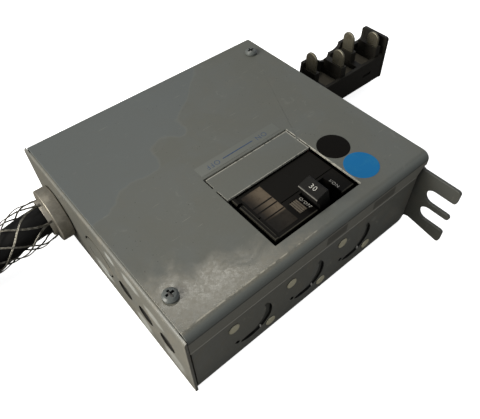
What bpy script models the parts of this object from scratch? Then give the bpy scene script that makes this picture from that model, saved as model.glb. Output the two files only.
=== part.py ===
"""Plug-in busway tap-off box with a two-pole breaker, stab head, fork ear and gripped cord drop.

Metres, +Z up. The origin lies on the back panel's underside, midway between the long walls and
85 mm from the gland wall. +X points to the stab head, -X to the cord gland, -Y to the wall with
three knockouts, +Z out through the cover.
"""

from math import ceil, cos, pi, radians, sin

import bmesh
import bpy
from mathutils import Matrix, Vector

for old in list(bpy.data.objects):
    bpy.data.objects.remove(old, do_unlink=True)

MM = 0.001
GAP = 0.3 * MM

# Sheet-metal box
BOX_LENGTH = 171.6 * MM
BOX_WIDTH = 160 * MM
BOX_HEIGHT = 59 * MM
SHEET = 1.5 * MM
PLATE = 2.0 * MM
LIP_HEIGHT = 14.7 * MM
COVER_BEND = 5.0 * MM
COVER_INSET = SHEET + GAP
PAN_CORNER = 4.4 * MM
FLANGE = 15 * MM
SEAM = 1.5 * MM
SCREW_HEAD = 8.2 * MM
SCREW_SHANK = 4.0 * MM

LEFT_X = -85 * MM
RIGHT_X = LEFT_X + BOX_LENGTH
HALF_Y = BOX_WIDTH / 2
COVER_UNDER = BOX_HEIGHT - SHEET
FLANGE_TOP = COVER_UNDER - GAP
FRONT_WALL = -HALF_Y + SHEET + GAP

# Knockouts and plugs
KNOCKOUT_RADIUS = 14 * MM
LEFT_GROOVE = 1.2 * MM
FRONT_GROOVE = 2.2 * MM
FRONT_SLITS = ((-125, -44.5), (-39.5, 46), (-147, -133))
FRONT_KNOCKOUT_X = (-45.2 * MM, -6.3 * MM, 32.6 * MM)
FRONT_KNOCKOUT_Z = 21.8 * MM
PLUG_RADIUS = 3.4 * MM
PLUG_OFFSETS = ((-11.9 * MM, 10.4 * MM), (12.9 * MM, -12.9 * MM))
LEFT_KNOCKOUT = (5.7 * MM, 27.4 * MM)
SMALL_KNOCKOUT_Y = (-21.4 * MM, -40.9 * MM, -60.3 * MM)
SMALL_KNOCKOUT_Z = 26 * MM
SMALL_KNOCKOUT_RADIUS = 6.3 * MM
SMALL_KNOCKOUT_DEPTH = 0.9 * MM
DRAIN_Y = (27 * MM, 37 * MM)
DRAIN_TOP = 6.3 * MM

# Cover window with one twist-out blank left in the back pole space
WINDOW_X = (-21.9 * MM, 40.1 * MM)
WINDOW_Y = (-68.7 * MM, -11.2 * MM)
BLANK_FRONT = -31.2 * MM
BLANK_SLIT = 0.9 * MM
BLANK_TIE = 3.0 * MM
COVER_SCREWS = ((-76.1 * MM, -58.0 * MM), (76.5 * MM, 62.1 * MM))

# Fork ear on the mounting end plate
EAR_REACH = 26.8 * MM
EAR_LOW = 2.0 * MM
EAR_RISE = 5.6 * MM
EAR_SLOT = 10.4 * MM
EAR_SLOT_DEPTH = 18.5 * MM
EAR_MIDDLE = 4.2 * MM
EAR_OUTER = 10.3 * MM
EAR_CORNER = 2 * MM
EAR_ROOT = 3 * MM

# Two-pole breaker
CASE_X = (-30 * MM, 52 * MM)
CASE_Y = (-67.8 * MM, -31.8 * MM)
CASE_LOW = 8 * MM
CASE_SPLIT = 30 * MM
CASE_SHOULDER = 50 * MM
CASE_FACE = 57 * MM
CASE_WALL = 1.8 * MM
CASE_END = 6 * MM
NOSE_X = (-18.8 * MM, 38.6 * MM)
NOSE_FRONT = -65.6 * MM
LEDGE = (2.2 * MM, 0.8 * MM)
LEDGE_NOTCH = (-38.4 * MM, -36.2 * MM)
SEAM_HALF = 0.25 * MM
SEAM_DEPTH = 0.8 * MM
POLE_Y = (-58.8 * MM, -40.8 * MM)
HANDLE_PIVOT = Vector((20.4 * MM, POLE_Y[0], 43.5 * MM))
HANDLE_LEAN = 16
HANDLE_REACH = 24.8 * MM
HANDLE_SIZE = (7.2 * MM, 13.4 * MM)
HANDLE_TOP_X = (-5.0 * MM, 3.8 * MM)
HANDLE_TOP = 4.6 * MM
HANDLE_SLOT_X = (11.0 * MM, 29.6 * MM)
HANDLE_HUB = 4.6 * MM
PIN_RADIUS = 1.5 * MM
TRIP_WINDOW = (5.2 * MM, -57.0 * MM)
TRIP_HALF = (2.8 * MM, 4.4 * MM)
ARM_PIVOT = Vector((-4 * MM, -49.8 * MM, 33 * MM))
ARM_LENGTH = 36 * MM
ARM_LIFT = 2.6 * MM
STRAP_Z = (11 * MM, 13.4 * MM)
STRAP_WIDTH = 8 * MM

# Stab head
HEAD_END = 186.5 * MM
HEAD_Y = (25.3 * MM, 49.3 * MM)
HEAD_LOW = 8 * MM
HEAD_SIDE = 28.9 * MM
HEAD_TAB = 37.3 * MM
HEAD_CREST = 41.3 * MM
HEAD_SADDLE = 5 * MM
HEAD_TOP = 42.8 * MM
HEAD_WALL = 2.6 * MM
HEAD_LUG = 12 * MM
HEAD_FLANGE = 5 * MM
HEAD_SCREW_OUT = 7 * MM
HEAD_AXIS = HEAD_LOW + 12 * MM
HEAD_FLOOR = HEAD_LOW + 8 * MM
LEAD_STEP = 6 * MM
BLADE_X = (117.5 * MM, 138 * MM, 158 * MM, 177.5 * MM)
BLADE_Y = (41.5 * MM, 33.3 * MM, 41.5 * MM, 33.3 * MM)
BLADE_WIDTH = 10.4 * MM
BLADE_THICK = 1.8 * MM
BLADE_TIPS = (51.2 * MM, 48.8 * MM, 51.2 * MM, 47.2 * MM)
BLADE_FOOT = 24 * MM
PARTITION = 5.4 * MM
HEAD_SLIT_X = (162 * MM, 171.5 * MM)
HEAD_SLIT_Z = (16.8 * MM, 19.2 * MM)

# Cord gland and cord
GLAND_Y = 53.7 * MM
GLAND_Z = 25 * MM
GLAND_RADIUS = 17.3 * MM
GLAND_LENGTH = 8 * MM
GLAND_EDGE = 0.5 * MM
COLLAR_REACH = 2.6 * MM
HUB_RADIUS = 13.2 * MM
BORE_RADIUS = 12 * MM
CORD = 18 * MM
CORD_REST = CORD / 2 + 1.4 * MM
CORD_START = LEFT_X + 11 * MM
CORD_STEP = CORD + 0.7 * MM
COIL_RADIUS = 104 * MM
COIL_TURNS = 1.25
COIL_CENTRE = Vector((-283 * MM, GLAND_Y - COIL_RADIUS, 0))
COIL_PITCH = CORD + 1.2 * MM
LOOP_POINTS = 24
TAIL_RUN = 92 * MM
CONNECTOR_RADIUS = 28.6 * MM
CONNECTOR_LENGTH = 82 * MM
TIE_SHEET = 1.0 * MM
TIE_WIDTH = 20 * MM
LEAD = 4.2 * MM
GRIP_STRANDS = 8
GRIP_ROWS = 12
GRIP_LENGTH = 92 * MM
GRIP_WIRE = 1.3 * MM
GRIP_FLARE = 1.6 * MM
GRIP_CLEAR = 0.4 * MM


def finish(name, colour, roughness, metallic=0.0):
    """A plain Principled material."""
    made = bpy.data.materials.get(name)
    if made:
        return made
    made = bpy.data.materials.new(name)
    made.use_nodes = True
    shader = made.node_tree.nodes["Principled BSDF"]
    shader.inputs["Base Color"].default_value = (*colour, 1.0)
    shader.inputs["Roughness"].default_value = roughness
    shader.inputs["Metallic"].default_value = metallic
    return made


PAINT = finish("grey_enamel", (0.13, 0.135, 0.125), 0.4)
END_PAINT = finish("grey_enamel_plate", (0.17, 0.17, 0.16), 0.45)
COVER_PAINT = finish("grey_enamel_cover", (0.14, 0.145, 0.135), 0.35)
SCREW_STEEL = finish("dark_screw_steel", (0.2, 0.2, 0.2), 0.35, 1.0)
ZINC = finish("zinc", (0.42, 0.4, 0.36), 0.45, 1.0)
BLACK = finish("black_moulding", (0.012, 0.012, 0.012), 0.5)
HANDLE_BLACK = finish("handle_black", (0.02, 0.02, 0.02), 0.4)
BEIGE = finish("indicator_beige", (0.35, 0.3, 0.24), 0.5)
COPPER = finish("copper", (0.7, 0.32, 0.18), 0.35, 1.0)
BRASS = finish("brass", (0.6, 0.45, 0.2), 0.35, 1.0)
SILVER = finish("silvered_copper", (0.5, 0.49, 0.45), 0.35, 1.0)
RUBBER = finish("cord_rubber", (0.01, 0.01, 0.011), 0.6)
CREAM = finish("cream_plug", (0.42, 0.39, 0.3), 0.6)
TIE_FABRIC = finish("tie_fabric", (0.02, 0.02, 0.02), 0.9)
LEAD_COLOURS = {
    "black": finish("lead_black", (0.015, 0.015, 0.015), 0.45),
    "red": finish("lead_red", (0.4, 0.02, 0.02), 0.45),
    "white": finish("lead_white", (0.7, 0.7, 0.68), 0.45),
    "green": finish("lead_green", (0.02, 0.2, 0.05), 0.45),
}


def add_object(name, mesh_builder, material, location=(0, 0, 0), smooth=False):
    """One object from a bmesh that the builder fills."""
    shape = bmesh.new()
    mesh_builder(shape)
    bmesh.ops.recalc_face_normals(shape, faces=shape.faces)
    mesh = bpy.data.meshes.new(name)
    shape.to_mesh(mesh)
    shape.free()
    if material:
        mesh.materials.append(material)
    made = bpy.data.objects.new(name, mesh)
    made.location = location
    bpy.context.collection.objects.link(made)
    if smooth:
        mesh.shade_smooth()
        mesh.set_sharp_from_angle(angle=radians(35))
    return made


def block(name, low, high, material=None):
    """A box between two corners, its origin at its middle."""
    low = Vector(low)
    high = Vector(high)
    size = high - low

    def build(shape):
        bmesh.ops.create_cube(shape, size=1.0, matrix=Matrix.Diagonal((*size, 1.0)))

    return add_object(name, build, material, (low + high) / 2)


AXIS_TURN = {
    "X": Matrix.Rotation(pi / 2, 4, "Y"),
    "Y": Matrix.Rotation(-pi / 2, 4, "X"),
    "Z": Matrix.Identity(4),
}


def rod(name, centre, radius, length, axis="Z", material=None, sides=32, top=None):
    """A cylinder or cone about a world axis, its origin at its middle."""

    def build(shape):
        bmesh.ops.create_cone(
            shape, cap_ends=True, segments=sides, radius1=radius,
            radius2=radius if top is None else top, depth=length, matrix=AXIS_TURN[axis])

    return add_object(name, build, material, centre, smooth=True)


def turned(name, profile, centre, axis, material, sides=32):
    """A closed (along, radius) outline turned about an axis; points of no radius are poles."""

    def build(shape):
        rings = []
        for along, radius in profile:
            ring = []
            for step in range(sides if radius else 1):
                angle = 2 * pi * step / sides
                spot = Vector((radius * cos(angle), radius * sin(angle), along))
                ring.append(shape.verts.new(AXIS_TURN[axis] @ spot))
            rings.append(ring if radius else ring * sides)
        for here, after in zip(rings, rings[1:] + rings[:1]):
            for step in range(sides):
                other = (step + 1) % sides
                corners = dict.fromkeys((here[step], here[other], after[other], after[step]))
                if len(corners) > 2:
                    shape.faces.new(corners)

    return add_object(name, build, material, centre, smooth=True)


def plate(name, outline, axis, low, high, material=None):
    """A flat outline of two coordinates, extruded along an axis between two levels."""
    order = {"X": lambda u, v, w: (w, u, v), "Y": lambda u, v, w: (u, w, v), "Z": lambda u, v, w: (u, v, w)}

    def build(shape):
        ends = []
        for level in (low, high):
            ends.append([shape.verts.new(order[axis](u, v, level)) for u, v in outline])
        count = len(outline)
        shape.faces.new(ends[0])
        shape.faces.new(reversed(ends[1]))
        for index in range(count):
            other = (index + 1) % count
            shape.faces.new((ends[0][index], ends[1][index], ends[1][other], ends[0][other]))

    return add_object(name, build, material)


def arc(centre, radius, start, end, steps=8):
    """Points on an arc, angles in degrees."""
    points = []
    for step in range(steps + 1):
        angle = radians(start + (end - start) * step / steps)
        points.append((centre[0] + radius * cos(angle), centre[1] + radius * sin(angle)))
    return points


def hide(tool):
    tool.hide_render = True
    tool.display_type = "WIRE"


def combine(target, tool, operation):
    """A Boolean on the target, with the tool kept as a hidden guide."""
    step = target.modifiers.new(operation.lower(), "BOOLEAN")
    step.operation = operation
    step.solver = "EXACT"
    step.object = tool
    hide(tool)


def cut(target, *tools):
    for tool in tools:
        combine(target, tool, "DIFFERENCE")


def fuse(target, *tools):
    for tool in tools:
        combine(target, tool, "UNION")


def weld(target):
    """Closes the hairline edges that coplanar cuts leave."""
    step = target.modifiers.new("weld", "WELD")
    step.merge_threshold = 0.01 * MM


def soften(target, width, segments=2, limit=40):
    """Rounds an object's sharp edges."""
    step = target.modifiers.new("bevel", "BEVEL")
    step.width = width
    step.segments = segments
    step.limit_method = "ANGLE"
    step.angle_limit = radians(limit)


def groove(name, centre, width, axis, start, end, low, high):
    """A cutter for one curved slit of a knockout's ring."""
    outer = arc(centre, KNOCKOUT_RADIUS, start, end, 12)
    inner = arc(centre, KNOCKOUT_RADIUS - width, end, start, 12)
    return plate(name, outer + inner, axis, low, high)


def smooth_route(points, spacing):
    """Even points on a Catmull-Rom curve through hand-chosen ones."""
    spots = [Vector(point) for point in points]
    padded = [2 * spots[0] - spots[1]] + spots + [2 * spots[-1] - spots[-2]]
    fine = []
    for index in range(1, len(padded) - 2):
        before, here, after, later = padded[index - 1:index + 3]
        for step in range(24):
            t = step / 24
            fine.append(0.5 * (2 * here + (after - before) * t
                               + (2 * before - 5 * here + 4 * after - later) * t * t
                               + (3 * here - before - 3 * after + later) * t ** 3))
    fine.append(spots[-1])
    total = sum((b - a).length for a, b in zip(fine, fine[1:]))
    count = max(2, ceil(total / spacing))
    even = [fine[0]]
    walked = 0.0
    for a, b in zip(fine, fine[1:]):
        length = (b - a).length
        while len(even) < count and walked + length >= total * len(even) / count:
            share = (total * len(even) / count - walked) / length
            even.append(a.lerp(b, share))
        walked += length
    even.append(fine[-1])
    return even, total


def tube(name, points, radius, material, resolution):
    """A round tube along a chain of points, with filled ends."""
    curve = bpy.data.curves.new(name, "CURVE")
    curve.dimensions = "3D"
    curve.bevel_depth = radius
    curve.bevel_resolution = resolution
    curve.use_fill_caps = True
    spline = curve.splines.new("POLY")
    spline.points.add(len(points) - 1)
    for spot, point in zip(spline.points, points):
        spot.co = (*point, 1.0)
    curve.materials.append(material)
    made = bpy.data.objects.new(name, curve)
    bpy.context.collection.objects.link(made)
    return made


def base_pan():
    """Back panel with front, back and left walls folded up, open at the corner seams."""
    pan = block("base_pan", (LEFT_X, FRONT_WALL, 0), (RIGHT_X - PLATE - GAP, -FRONT_WALL, SHEET), PAINT)
    wall_x = (LEFT_X + SHEET + SEAM, RIGHT_X - PLATE - GAP)
    top = COVER_UNDER - COVER_BEND - GAP
    front = block("pan_front", (wall_x[0], FRONT_WALL, 0), (wall_x[1], FRONT_WALL + SHEET, top))
    back = block("pan_back", (wall_x[0], -FRONT_WALL - SHEET, 0), (wall_x[1], -FRONT_WALL, top))
    bend = arc((LEFT_X + 2 * MM, FLANGE_TOP - 2 * MM), 2 * MM, 180, 90, 5)
    inner = arc((LEFT_X + 2 * MM, FLANGE_TOP - 2 * MM), 2 * MM - SHEET, 90, 180, 5)
    flange_end = LEFT_X + FLANGE
    side = [(LEFT_X, 0)] + bend + [(flange_end, FLANGE_TOP), (flange_end, FLANGE_TOP - SHEET)]
    side += inner + [(LEFT_X + SHEET, 0)]
    left = plate("pan_left", side, "Y", -HALF_Y, HALF_Y)
    fuse(pan, front, back, left)
    slots = []
    for side in (-1, 1):
        span = sorted((side * (HALF_Y + MM), side * (HALF_Y - COVER_BEND - MM)))
        slots.append(block("flange_relief", (LEFT_X + SHEET, span[0], BOX_HEIGHT - LIP_HEIGHT - MM),
                           (LEFT_X + 2 * FLANGE, span[1], BOX_HEIGHT)))
    for x in FRONT_KNOCKOUT_X:
        centre = (x, FRONT_KNOCKOUT_Z)
        ends = (FRONT_WALL - MM, FRONT_WALL + SHEET + MM)
        for start, end in FRONT_SLITS:
            slots.append(groove("knockout_slit", centre, FRONT_GROOVE, "Y", start, end, *ends))
        for dx, dz in PLUG_OFFSETS:
            spot = (x + dx, FRONT_WALL + SHEET / 2, FRONT_KNOCKOUT_Z + dz)
            slots.append(rod("plug_hole", spot, PLUG_RADIUS - MM, 4 * SHEET, "Y", sides=14))
    through_left = (LEFT_X - MM, LEFT_X + SHEET + MM)
    for start, end in ((-165, -15), (15, 165)):
        slots.append(groove("knockout_slit", LEFT_KNOCKOUT, LEFT_GROOVE, "X", start, end, *through_left))
    for y in SMALL_KNOCKOUT_Y:
        spot = (LEFT_X, y, SMALL_KNOCKOUT_Z)
        depth = 2 * SMALL_KNOCKOUT_DEPTH
        slots.append(rod("small_recess", spot, SMALL_KNOCKOUT_RADIUS, depth, "X", sides=28))
    slots.append(block("drain_slot", (through_left[0], DRAIN_Y[0], SHEET),
                       (through_left[1], DRAIN_Y[1], DRAIN_TOP)))
    corner = [(wall_x[1] + MM, -MM), (wall_x[1] + MM, PAN_CORNER)]
    corner += arc((wall_x[1] - PAN_CORNER, PAN_CORNER), PAN_CORNER, 0, -90, 6)
    corner.append((wall_x[1] - PAN_CORNER, -MM))
    slots.append(plate("pan_corner", corner, "Y", FRONT_WALL - MM, FRONT_WALL + PAN_CORNER))
    gland_spot = (LEFT_X, GLAND_Y, GLAND_Z)
    slots.append(rod("gland_hole", gland_spot, HUB_RADIUS + GAP, 6 * SHEET, "X"))
    screw = COVER_SCREWS[0]
    slots.append(rod("flange_hole", (*screw, FLANGE_TOP), SCREW_SHANK / 2 + GAP, 8 * SHEET, sides=20))
    cut(pan, *slots)
    weld(pan)


def mounting_end_plate():
    """Right wall whose sheet runs on past the front wall as a fork ear, with a cover flange."""
    ear_top = EAR_LOW + 2 * EAR_OUTER + 2 * EAR_SLOT + EAR_MIDDLE
    reach = FRONT_WALL - EAR_REACH
    corner = EAR_CORNER
    chamfer = COVER_BEND + MM
    outline = [(-FRONT_WALL, 0), (-FRONT_WALL, FLANGE_TOP - chamfer), (-FRONT_WALL - chamfer, FLANGE_TOP),
               (FRONT_WALL + chamfer, FLANGE_TOP), (FRONT_WALL, FLANGE_TOP - chamfer)]
    outline += arc((FRONT_WALL - EAR_ROOT, ear_top + EAR_ROOT), EAR_ROOT, 0, -90, 5)
    prong = ear_top
    for slot in range(2):
        outer = EAR_OUTER if slot == 0 else EAR_MIDDLE
        outline += arc((reach + corner, prong - corner), corner, 90, 180, 4)
        slot_top = prong - outer
        outline += arc((reach + corner, slot_top + corner), corner, 180, 270, 4)
        middle = (reach + EAR_SLOT_DEPTH - EAR_SLOT / 2, slot_top - EAR_SLOT / 2)
        outline += arc(middle, EAR_SLOT / 2, 90, -90, 10)
        prong = slot_top - EAR_SLOT
    outline += arc((reach + corner, prong - corner), corner, 90, 180, 4)
    outline += arc((reach + corner, EAR_LOW + corner), corner, 180, 270, 4)
    outline += [(FRONT_WALL - EAR_ROOT, EAR_RISE), (FRONT_WALL, EAR_RISE - MM)]
    outline += arc((FRONT_WALL + PAN_CORNER, PAN_CORNER), PAN_CORNER, 180, 270, 5)
    end = plate("mounting_end_plate", outline, "X", RIGHT_X - PLATE, RIGHT_X, END_PAINT)
    flange = block("end_flange", (RIGHT_X - FLANGE, -HALF_Y + 12 * MM, FLANGE_TOP - PLATE),
                   (RIGHT_X - PLATE / 2, HALF_Y - 12 * MM, FLANGE_TOP))
    fuse(end, flange)
    passage = block("lead_passage", (RIGHT_X - 4 * PLATE, HEAD_Y[0] + 2 * MM, HEAD_LOW + 6 * MM),
                    (RIGHT_X + 4 * PLATE, HEAD_Y[1] - 2 * MM, HEAD_LOW + 18 * MM))
    hole = rod("end_flange_hole", (*COVER_SCREWS[1], FLANGE_TOP), SCREW_SHANK / 2 + GAP, 8 * SHEET, sides=20)
    cut(end, passage, hole)
    for y in (HEAD_Y[0] - HEAD_SCREW_OUT, HEAD_Y[1] + HEAD_SCREW_OUT):
        spot = (RIGHT_X, y, HEAD_AXIS)
        cut(end, rod("head_screw_hole", spot, SCREW_SHANK / 2 + GAP, 8 * PLATE, "X", sides=16))
    weld(end)


def cover():
    """Flat cover with rolled front and back lips, a three-pole window and one blank."""
    left = LEFT_X + COVER_INSET
    right = RIGHT_X
    lip_right = RIGHT_X - PLATE - 0.6 * MM
    low = BOX_HEIGHT - LIP_HEIGHT
    mid = (-HALF_Y + COVER_BEND, BOX_HEIGHT - COVER_BEND)
    outer = [(-HALF_Y, low)] + arc(mid, COVER_BEND, 180, 90, 8)
    inner = arc(mid, COVER_BEND - SHEET, 90, 180, 8) + [(-HALF_Y + SHEET, low)]
    mirrored_outer = [(-y, z) for y, z in reversed(outer)]
    mirrored_inner = [(-y, z) for y, z in reversed(inner)]
    top = plate("cover", outer + mirrored_outer + mirrored_inner + inner, "X", left, right, COVER_PAINT)
    for side in (-1, 1):
        cut_y = sorted((side * (HALF_Y + MM), side * (HALF_Y - COVER_BEND)))
        ear_clear = low + 6 * MM
        notch = [(lip_right - 6 * MM, low - MM), (lip_right, ear_clear), (right + MM, ear_clear),
                 (right + MM, low - MM)]
        cut(top, plate("lip_corner", notch, "Y", *cut_y))
    levels = (COVER_UNDER - MM, BOX_HEIGHT + MM)
    window = block("window", (WINDOW_X[0], WINDOW_Y[0], levels[0]), (WINDOW_X[1], BLANK_FRONT, levels[1]))
    cut(top, window)
    middle = (BLANK_FRONT + WINDOW_Y[1]) / 2
    tie_low = middle - BLANK_TIE / 2
    tie_high = middle + BLANK_TIE / 2
    far_y = WINDOW_Y[1] - BLANK_SLIT
    left_x, right_x = WINDOW_X
    left_in = left_x + BLANK_SLIT
    right_in = right_x - BLANK_SLIT
    back_run = [(left_x, WINDOW_Y[1]), (left_x, tie_high), (left_in, tie_high), (left_in, far_y),
                (right_in, far_y), (right_in, tie_high), (right_x, tie_high), (right_x, WINDOW_Y[1])]
    cut(top, plate("blank_slit", back_run, "Z", *levels))
    for low_x, high_x in ((left_x, left_in), (right_in, right_x)):
        cut(top, block("blank_slit", (low_x, BLANK_FRONT - MM, levels[0]), (high_x, tie_low, levels[1])))
    for spot in COVER_SCREWS:
        cut(top, rod("cover_hole", (*spot, BOX_HEIGHT), SCREW_SHANK / 2 + GAP, 4 * SHEET, sides=16))
    weld(top)


def pan_head_screw(name, spot, axis_turn=None):
    """A pan head screw standing on +Z, its underside at the given spot."""
    head = 2.6 * MM
    shank = 9 * MM
    outline = [(-shank, 0), (-shank, SCREW_SHANK / 2), (0, SCREW_SHANK / 2), (0, SCREW_HEAD / 2),
               (head * 0.45, SCREW_HEAD / 2), (head * 0.85, SCREW_HEAD * 0.38), (head, SCREW_HEAD * 0.2),
               (head, 0)]
    screw = turned(name, outline, spot, "Z", SCREW_STEEL, 16)
    for size in ((3.6, 0.9), (0.9, 3.6)):
        half_x, half_y = size[0] * MM / 2, size[1] * MM / 2
        middle = Vector((0, 0, head))
        reach = Vector((half_x, half_y, MM))
        slot = block(name + "_recess", middle - reach, middle + reach)
        slot.parent = screw
        cut(screw, slot)
    weld(screw)
    if axis_turn:
        screw.rotation_euler = axis_turn
    return screw


def hole_plugs():
    """Cream push-in plugs beside the front knockouts, two to each."""
    number = 1
    for x in FRONT_KNOCKOUT_X:
        for dx, dz in PLUG_OFFSETS:
            rim = PLUG_RADIUS
            stem = PLUG_RADIUS - MM - GAP
            outline = [(0, 0), (0, stem), (-SHEET - GAP, stem), (-SHEET - GAP, rim),
                       (-SHEET - GAP - 0.5 * MM, rim * 0.9), (-SHEET - GAP - 0.6 * MM, 0)]
            spot = (x + dx, FRONT_WALL + SHEET, FRONT_KNOCKOUT_Z + dz)
            turned("hole_plug_%d" % number, outline, spot, "Y", CREAM, 16)
            number += 1


def pole_cavity(name, low_z, high_z):
    """Cutters for the two pole chambers of the breaker's case."""
    middle = (CASE_Y[0] + CASE_Y[1]) / 2
    low_x = CASE_X[0] + CASE_END
    high_x = CASE_X[1] - CASE_END
    spans = ((CASE_Y[0] + CASE_WALL, middle - CASE_WALL / 2),
             (middle + CASE_WALL / 2, CASE_Y[1] - CASE_WALL))
    return [block(name, (low_x, a, low_z), (high_x, b, high_z)) for a, b in spans]


def breaker_case():
    """Moulded base and cover of the breaker, with pole chambers and a handle slot."""
    base = block("breaker_base", (CASE_X[0], CASE_Y[0], CASE_LOW), (CASE_X[1], CASE_Y[1], CASE_SPLIT), BLACK)
    cut(base, *pole_cavity("base_chamber", CASE_LOW + CASE_WALL, CASE_SPLIT + MM))
    for y in POLE_Y:
        half = STRAP_WIDTH / 2 + GAP
        strap_way = block("strap_way", (CASE_X[0] - MM, y - half, STRAP_Z[0] - GAP),
                          (CASE_X[1] + MM, y + half, STRAP_Z[1] + GAP))
        cut(base, strap_way)
    crossbar_way = block("crossbar_way", (ARM_PIVOT.x + 2 * MM, POLE_Y[0], CASE_SPLIT - 16 * MM),
                         (ARM_PIVOT.x + 26 * MM, POLE_Y[1], CASE_SPLIT + MM))
    cut(base, crossbar_way)

    top = block("breaker_cover", (CASE_X[0], CASE_Y[0], CASE_SPLIT + GAP),
                (CASE_X[1], CASE_Y[1], CASE_SHOULDER), BLACK)
    nose = block("breaker_nose", (NOSE_X[0], NOSE_FRONT, CASE_SHOULDER - MM),
                 (NOSE_X[1], CASE_Y[1], CASE_FACE))
    ledge = block("nose_ledge", (NOSE_X[0], NOSE_FRONT, CASE_FACE - MM),
                  (NOSE_X[0] + LEDGE[0], CASE_Y[1], CASE_FACE + LEDGE[1]))
    fuse(top, nose, ledge)
    cut(top, block("ledge_notch", (NOSE_X[0] - MM, LEDGE_NOTCH[0], CASE_FACE - MM),
                   (NOSE_X[0] + LEDGE[0] + MM, LEDGE_NOTCH[1], CASE_FACE + 2 * MM)))
    cut(top, *pole_cavity("cover_chamber", CASE_SPLIT - MM, CASE_SHOULDER - CASE_WALL))
    half = HANDLE_SIZE[1] / 2 + 0.6 * MM
    slot = block("handle_slot", (HANDLE_SLOT_X[0], POLE_Y[0] - half, CASE_SHOULDER - 4 * MM),
                 (HANDLE_SLOT_X[1], POLE_Y[0] + half, CASE_FACE + MM))
    trip_low = Vector(TRIP_WINDOW) - Vector(TRIP_HALF)
    trip_high = Vector(TRIP_WINDOW) + Vector(TRIP_HALF)
    window = block("trip_opening", (*trip_low, CASE_FACE - 2.2 * MM), (*trip_high, CASE_FACE + MM))
    bar_way = block("cover_bar_way", (ARM_PIVOT.x - 4 * MM, POLE_Y[0], CASE_SPLIT - MM),
                    (ARM_PIVOT.x + 26 * MM, POLE_Y[1], CASE_SPLIT + 8 * MM))
    middle = (CASE_Y[0] + CASE_Y[1]) / 2
    seam = block("pole_seam", (NOSE_X[0] + LEDGE[0], middle - SEAM_HALF, CASE_FACE - SEAM_DEPTH),
                 (NOSE_X[1] + MM, middle + SEAM_HALF, CASE_FACE + MM))
    cut(top, slot, window, bar_way, seam)
    inset = Vector((GAP, GAP))
    block("trip_indicator", (*(trip_low + inset), CASE_FACE - 1.9 * MM),
          (*(trip_high - inset), CASE_FACE - 0.5 * MM), BEIGE)


def breaker_handle():
    """Toggle handle on a hub that turns on its pin, leaning to the off side."""
    handle = rod("breaker_handle", HANDLE_PIVOT, HANDLE_HUB, HANDLE_SIZE[1], "Y", HANDLE_BLACK, 28)
    half_x, half_y = HANDLE_SIZE[0] / 2, HANDLE_SIZE[1] / 2
    left, right = HANDLE_TOP_X
    under = HANDLE_REACH - HANDLE_TOP
    corner = 1.2 * MM
    outline = [(-half_x, 0), (half_x, 0), (half_x, under), (right, under)]
    outline += arc((right - corner, HANDLE_REACH - corner), corner, 0, 90, 4)
    outline += arc((left + corner, HANDLE_REACH - corner), corner, 90, 180, 4)
    outline += [(left, under), (-half_x, under)]
    stalk = plate("handle_stalk", outline, "Y", -half_y, half_y)
    stalk.parent = handle
    fuse(handle, stalk)
    bore = rod("handle_bore", (0, 0, 0), PIN_RADIUS + GAP, HANDLE_SIZE[1] * 2, "Y", sides=20)
    bore.parent = handle
    cut(handle, bore)
    weld(handle)
    handle.rotation_euler = (0, radians(-HANDLE_LEAN), 0)
    middle = (CASE_Y[0] + CASE_Y[1]) / 2
    pin_low = CASE_Y[0] + CASE_WALL + GAP
    pin_high = middle - CASE_WALL / 2 - GAP
    spot = (HANDLE_PIVOT.x, (pin_low + pin_high) / 2, HANDLE_PIVOT.z)
    rod("handle_pin", spot, PIN_RADIUS, pin_high - pin_low, "Y", ZINC, 16)


def contact_set():
    """Two moving arms on one crossbar, and the straps that they close on."""
    bar_x = ARM_PIVOT.x + 9 * MM
    for number, y in enumerate(POLE_Y, 1):
        half = 3 * MM
        start = ARM_PIVOT.x
        tip = ARM_PIVOT.x + ARM_LENGTH
        arm_low = ARM_PIVOT.z - 1.2 * MM
        outline = arc((start, ARM_PIVOT.z), 3.4 * MM, 90, 270, 8)
        outline += [(start + 5 * MM, ARM_PIVOT.z - MM), (tip - 8 * MM, arm_low - ARM_LIFT),
                    (tip - 6 * MM, arm_low - ARM_LIFT - 3 * MM), (tip, arm_low - ARM_LIFT - 3 * MM),
                    (tip, arm_low), (start + 8 * MM, ARM_PIVOT.z + 2.4 * MM)]
        arm = plate("contact_arm_%d" % number, outline, "Y", y - half, y + half, COPPER)
        cut(arm, rod("arm_bore", (start, y, ARM_PIVOT.z), PIN_RADIUS + GAP, 4 * half, "Y", sides=20))
        line_low = STRAP_Z[0]
        line = block("line_strap_%d" % number, (tip - 9 * MM, y - STRAP_WIDTH / 2, line_low),
                     (CASE_X[1] + 9 * MM, y + STRAP_WIDTH / 2, STRAP_Z[1]), COPPER)
        fuse(line, block("line_contact", (tip - 7 * MM, y - 3 * MM, line_low),
                         (tip - MM, y + 3 * MM, STRAP_Z[1] + 2.6 * MM)))
        block("load_strap_%d" % number, (CASE_X[0] - 10 * MM, y - STRAP_WIDTH / 2, STRAP_Z[0]),
              (ARM_PIVOT.x + 4 * MM, y + STRAP_WIDTH / 2, STRAP_Z[1]), COPPER)
    reach = 5 * MM
    bar_top = ARM_PIVOT.z - 1.8 * MM
    block("contact_crossbar", (bar_x - 2.5 * MM, POLE_Y[0] - reach + 2 * MM, bar_top - 5 * MM),
          (bar_x + 2.5 * MM, POLE_Y[1] + reach - 2 * MM, bar_top - GAP), BLACK)
    low = CASE_Y[0] + CASE_WALL + GAP
    high = CASE_Y[1] - CASE_WALL - GAP
    rod("arm_pin", (ARM_PIVOT.x, (low + high) / 2, ARM_PIVOT.z), PIN_RADIUS, high - low, "Y", ZINC, 16)


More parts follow.
